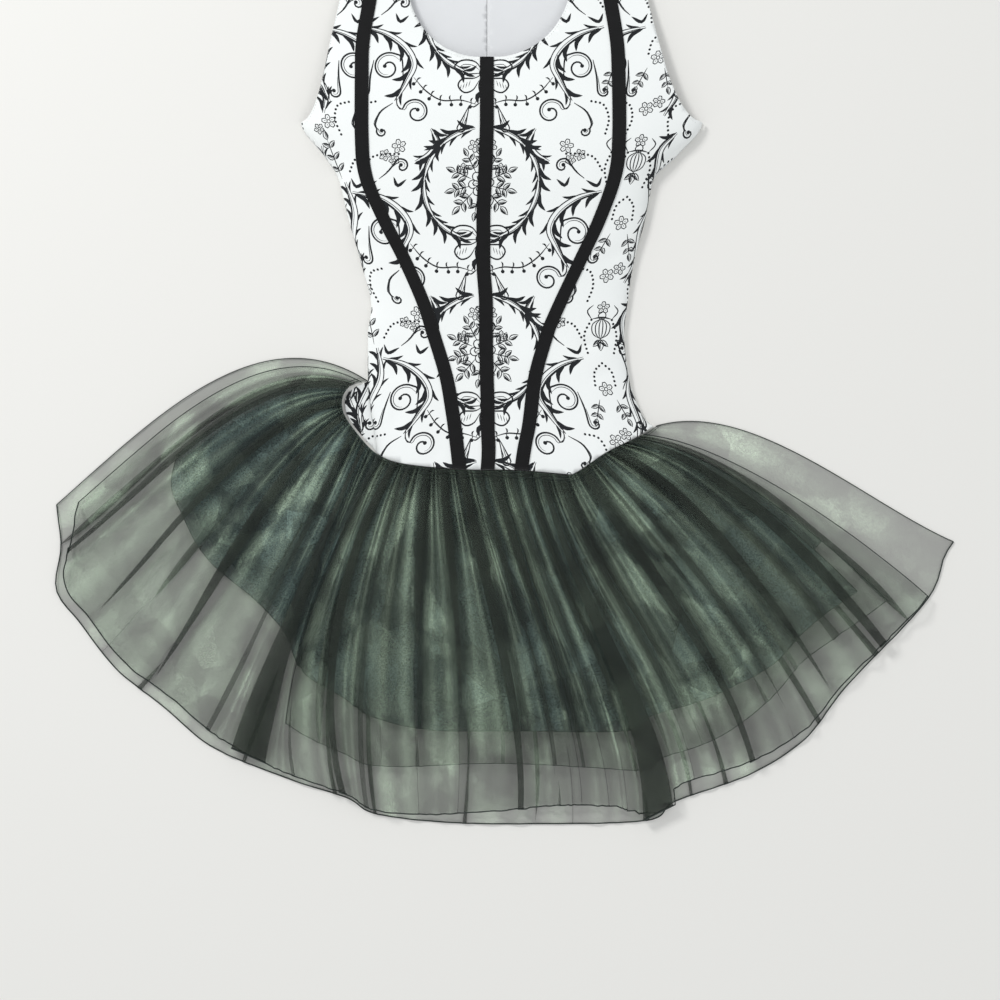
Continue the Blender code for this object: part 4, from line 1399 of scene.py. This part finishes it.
def add_node(tree, kind, inputs, **settings):
    """Shader node with its inputs set to numbers or led from other nodes."""
    node = tree.nodes.new("ShaderNode" + kind)
    for name, value in settings.items():
        setattr(node, name, value)
    for name, value in inputs.items():
        if isinstance(value, bpy.types.NodeSocket):
            tree.links.new(value, node.inputs[name])
        else:
            node.inputs[name].default_value = value
    return node


def around_one(tree, value, source, reach):
    """Value moved from a range to one that reaches as far below 1 as above it."""
    inputs = {"Value": value, "From Min": source[0], "From Max": source[1],
              "To Min": 1 - reach, "To Max": 1 + reach}
    return add_node(tree, "MapRange", inputs).outputs["Result"]


def mixed(tree, share, a, b, kind="FLOAT"):
    """Blend of two values or colours."""
    return add_node(tree, "Mix", {"Factor": share, "A": a, "B": b}, data_type=kind).outputs["Result"]


def shade_nodes(name, dark, light, weave, blotch, roughness, sheen, alpha=1.0, speckle=0.0, painted_shading=0.0,
                painted_facet_light=0.0, shift=0.0):
    """Woven cloth whose colour runs between two shades over its threads, with painted light and shade: a
    value stored on the skirt's meshes and patches of crumpled facets.
    """
    material = bpy.data.materials.new(name)
    material.use_nodes = True
    tree = material.node_tree
    place = add_node(tree, "TexCoord", {}).outputs["Object"]
    thread = {"Vector": place, "Scale": 2 * math.pi / (WAVE_RADIANS * weave * MM),
              "Distortion": 0.6, "Detail": 1.0}
    threads = [add_node(tree, "TexWave", thread, bands_direction=direction).outputs["Fac"]
               for direction in ("X", "Y")]
    cross = add_node(tree, "Math", dict(enumerate(threads)), operation="MULTIPLY").outputs["Value"]
    noises = [{"Vector": place, "Scale": 1 / (size * MM), "Detail": detail}
              for size, detail in ((blotch, 4.0), (GRAIN_SIZE, 2.0))]
    cloud, grain = (add_node(tree, "TexNoise", noise).outputs["Fac"] for noise in noises)
    # Painted highlight on the skirt's gather crests and painted shade in its valleys and folds, read from
    # the mesh
    painted_light = add_node(tree, "Attribute", {}, attribute_name="painted_shading").outputs["Fac"]
    value = mixed(tree, painted_shading, mixed(tree, 0.5, cross, cloud), painted_light)
    # Patches of painted light and shade, as crumpled facets catch the light, moved apart for each layer
    moved = add_node(tree, "Mapping", {"Vector": place, "Location": (shift, 0.37 * shift, 0.0)})
    patches = {"Vector": moved.outputs["Vector"], "Scale": 1 / (PATCH_SIZE * MM)}
    color = add_node(tree, "TexVoronoi", patches).outputs["Color"]
    patch = add_node(tree, "SeparateColor", {"Color": color}).outputs["Red"]
    for factor in (around_one(tree, patch, (0, 1), painted_facet_light),
                   around_one(tree, grain, GRAIN_RANGE, speckle)):
        value = add_node(tree, "Math", {0: value, 1: factor}, operation="MULTIPLY").outputs["Value"]
    color = mixed(tree, value, (*dark, 1.0), (*light, 1.0), "RGBA")
    bump = add_node(tree, "Bump", {"Strength": 0.35, "Distance": 0.15 * MM, "Height": cross})
    shader = tree.nodes["Principled BSDF"]
    tree.links.new(color, shader.inputs["Base Color"])
    tree.links.new(bump.outputs["Normal"], shader.inputs["Normal"])
    shader.inputs["Roughness"].default_value = roughness
    shader.inputs["Sheen Weight"].default_value = sheen
    shader.inputs["Sheen Roughness"].default_value = 0.5
    shader.inputs["Specular IOR Level"].default_value = 0.25
    shader.inputs["Alpha"].default_value = alpha
    return material


WHITE_CLOTH = shade_nodes("printed_white", (0.84, 0.865, 0.85), (0.94, 0.96, 0.945), 0.9, 60, 0.75, 0.15)
INK = shade_nodes("print_ink", (0.004, 0.005, 0.006), (0.025, 0.028, 0.032), 0.9, 25, 0.8, 0.05)
BODICE_LINING = shade_nodes("bodice_lining", (0.70, 0.71, 0.72), (0.82, 0.83, 0.84), 0.7, 50, 0.7, 0.1)
VELVET = shade_nodes("black_velvet", (0.002, 0.002, 0.002), (0.010, 0.010, 0.011), 1.3, 12, 1.0, 0.25)
# Organza's dark and light shades; on the skirt the painted light and shade value steers most of the colour,
# so the light shade is mostly painted highlight
ORGANZA_DARK = (0.0, 0.002, 0.001)
ORGANZA_LIGHT = (0.70, 0.90, 0.66)
SKIRT_CLOTH = {
    name: shade_nodes(name, ORGANZA_DARK, ORGANZA_LIGHT, 0.7, 45, 0.5, 0.1, alpha=alpha, speckle=0.45,
                      painted_shading=0.90, painted_facet_light=0.5, shift=shift)
    for name, alpha, shift in (
        ("organza_back", 0.37, 0.13), ("organza_middle", 0.31, 0.41), ("organza_front", 0.31, 0.77),
    )
}
# The lining's light shade is mostly painted highlight on its crests
SKIRT_CLOTH["lining"] = shade_nodes(
    "skirt_lining", (0.008, 0.018, 0.020), (0.34, 0.50, 0.46), 0.8, 40, 0.5, 0.1,
    alpha=0.72, speckle=0.5, painted_shading=0.8, painted_facet_light=0.5, shift=0.29)
WHITE_THREAD = shade_nodes("white_thread", (0.62, 0.64, 0.63), (0.80, 0.82, 0.81), 0.5, 8, 0.6, 0.1)
RIBBON_THREAD = shade_nodes("ribbon_thread", (0.012, 0.012, 0.013), (0.035, 0.035, 0.038), 0.5, 8,
                            0.45, 0.0)
HEM_THREAD = shade_nodes("hem_thread", (0.015, 0.022, 0.019), (0.04, 0.05, 0.045), 0.6, 10, 0.6, 0.0)


# Photo: its scale and where the dress sits in it
PIXEL = 1.16
SEAM_PIXEL = (487, 471)
PHOTO_MIDDLE_PIXEL = (500, 500)
PHOTO_PIXELS = 1000
LENS = 70.0
SENSOR = 36.0

# Stage, in metres
FLOOR_REACH = 8.0
FLOOR_DROP = 0.0006


def build_camera():
    """Camera straight above, framed as the photo is."""
    lens = bpy.data.cameras.new("camera")
    lens.lens = LENS
    lens.sensor_width = SENSOR
    camera = bpy.data.objects.new("camera", lens)
    x = (PHOTO_MIDDLE_PIXEL[0] - SEAM_PIXEL[0]) * PIXEL - FRAME_CENTER[0]
    y = (SEAM_PIXEL[1] - PHOTO_MIDDLE_PIXEL[1]) * PIXEL - FRAME_CENTER[1]
    distance = PHOTO_PIXELS * PIXEL * LENS / SENSOR
    camera.location = (x * MM, y * MM, distance * MM)
    bpy.context.scene.collection.objects.link(camera)
    bpy.context.scene.camera = camera
    return camera


def area_light(name, location, size, power):
    """Square soft light that faces the dress."""
    light = bpy.data.lights.new(name, "AREA")
    light.size = size
    light.energy = power
    lamp = bpy.data.objects.new(name, light)
    lamp.location = location
    lamp.rotation_euler = (-Vector(location)).to_track_quat("-Z", "Y").to_euler()
    bpy.context.scene.collection.objects.link(lamp)


def build_stage():
    """Pale floor, even sky and two soft lights."""
    corners = [(x * FLOOR_REACH, y * FLOOR_REACH, -FLOOR_DROP)
               for x, y in ((-1, -1), (1, -1), (1, 1), (-1, 1))]
    mesh = bpy.data.meshes.new("floor")
    mesh.from_pydata(corners, [], [(0, 1, 2, 3)])
    paper = bpy.data.materials.new("pale_floor")
    paper.use_nodes = True
    shader = paper.node_tree.nodes["Principled BSDF"]
    shader.inputs["Base Color"].default_value = (0.82, 0.81, 0.775, 1.0)
    shader.inputs["Roughness"].default_value = 0.9
    mesh.materials.append(paper)
    floor = bpy.data.objects.new("floor", mesh)
    bpy.context.scene.collection.objects.link(floor)
    world = bpy.data.worlds.new("studio")
    world.use_nodes = True
    sky = world.node_tree.nodes["Background"]
    sky.inputs["Color"].default_value = (0.96, 0.98, 1.0, 1.0)
    sky.inputs["Strength"].default_value = 0.70
    bpy.context.scene.world = world
    area_light("key", (-2.3, 2.3, 2.4), 0.9, 75)
    area_light("fill", (1.6, -1.2, 3.2), 1.6, 12)


build_camera()
build_stage()
edge_paths = build_bodice()
build_ribbons()
build_edge_stitches(edge_paths)
build_skirt()
scene = bpy.context.scene
scene.view_settings.view_transform = "Standard"
scene.cycles.transparent_max_bounces = 32
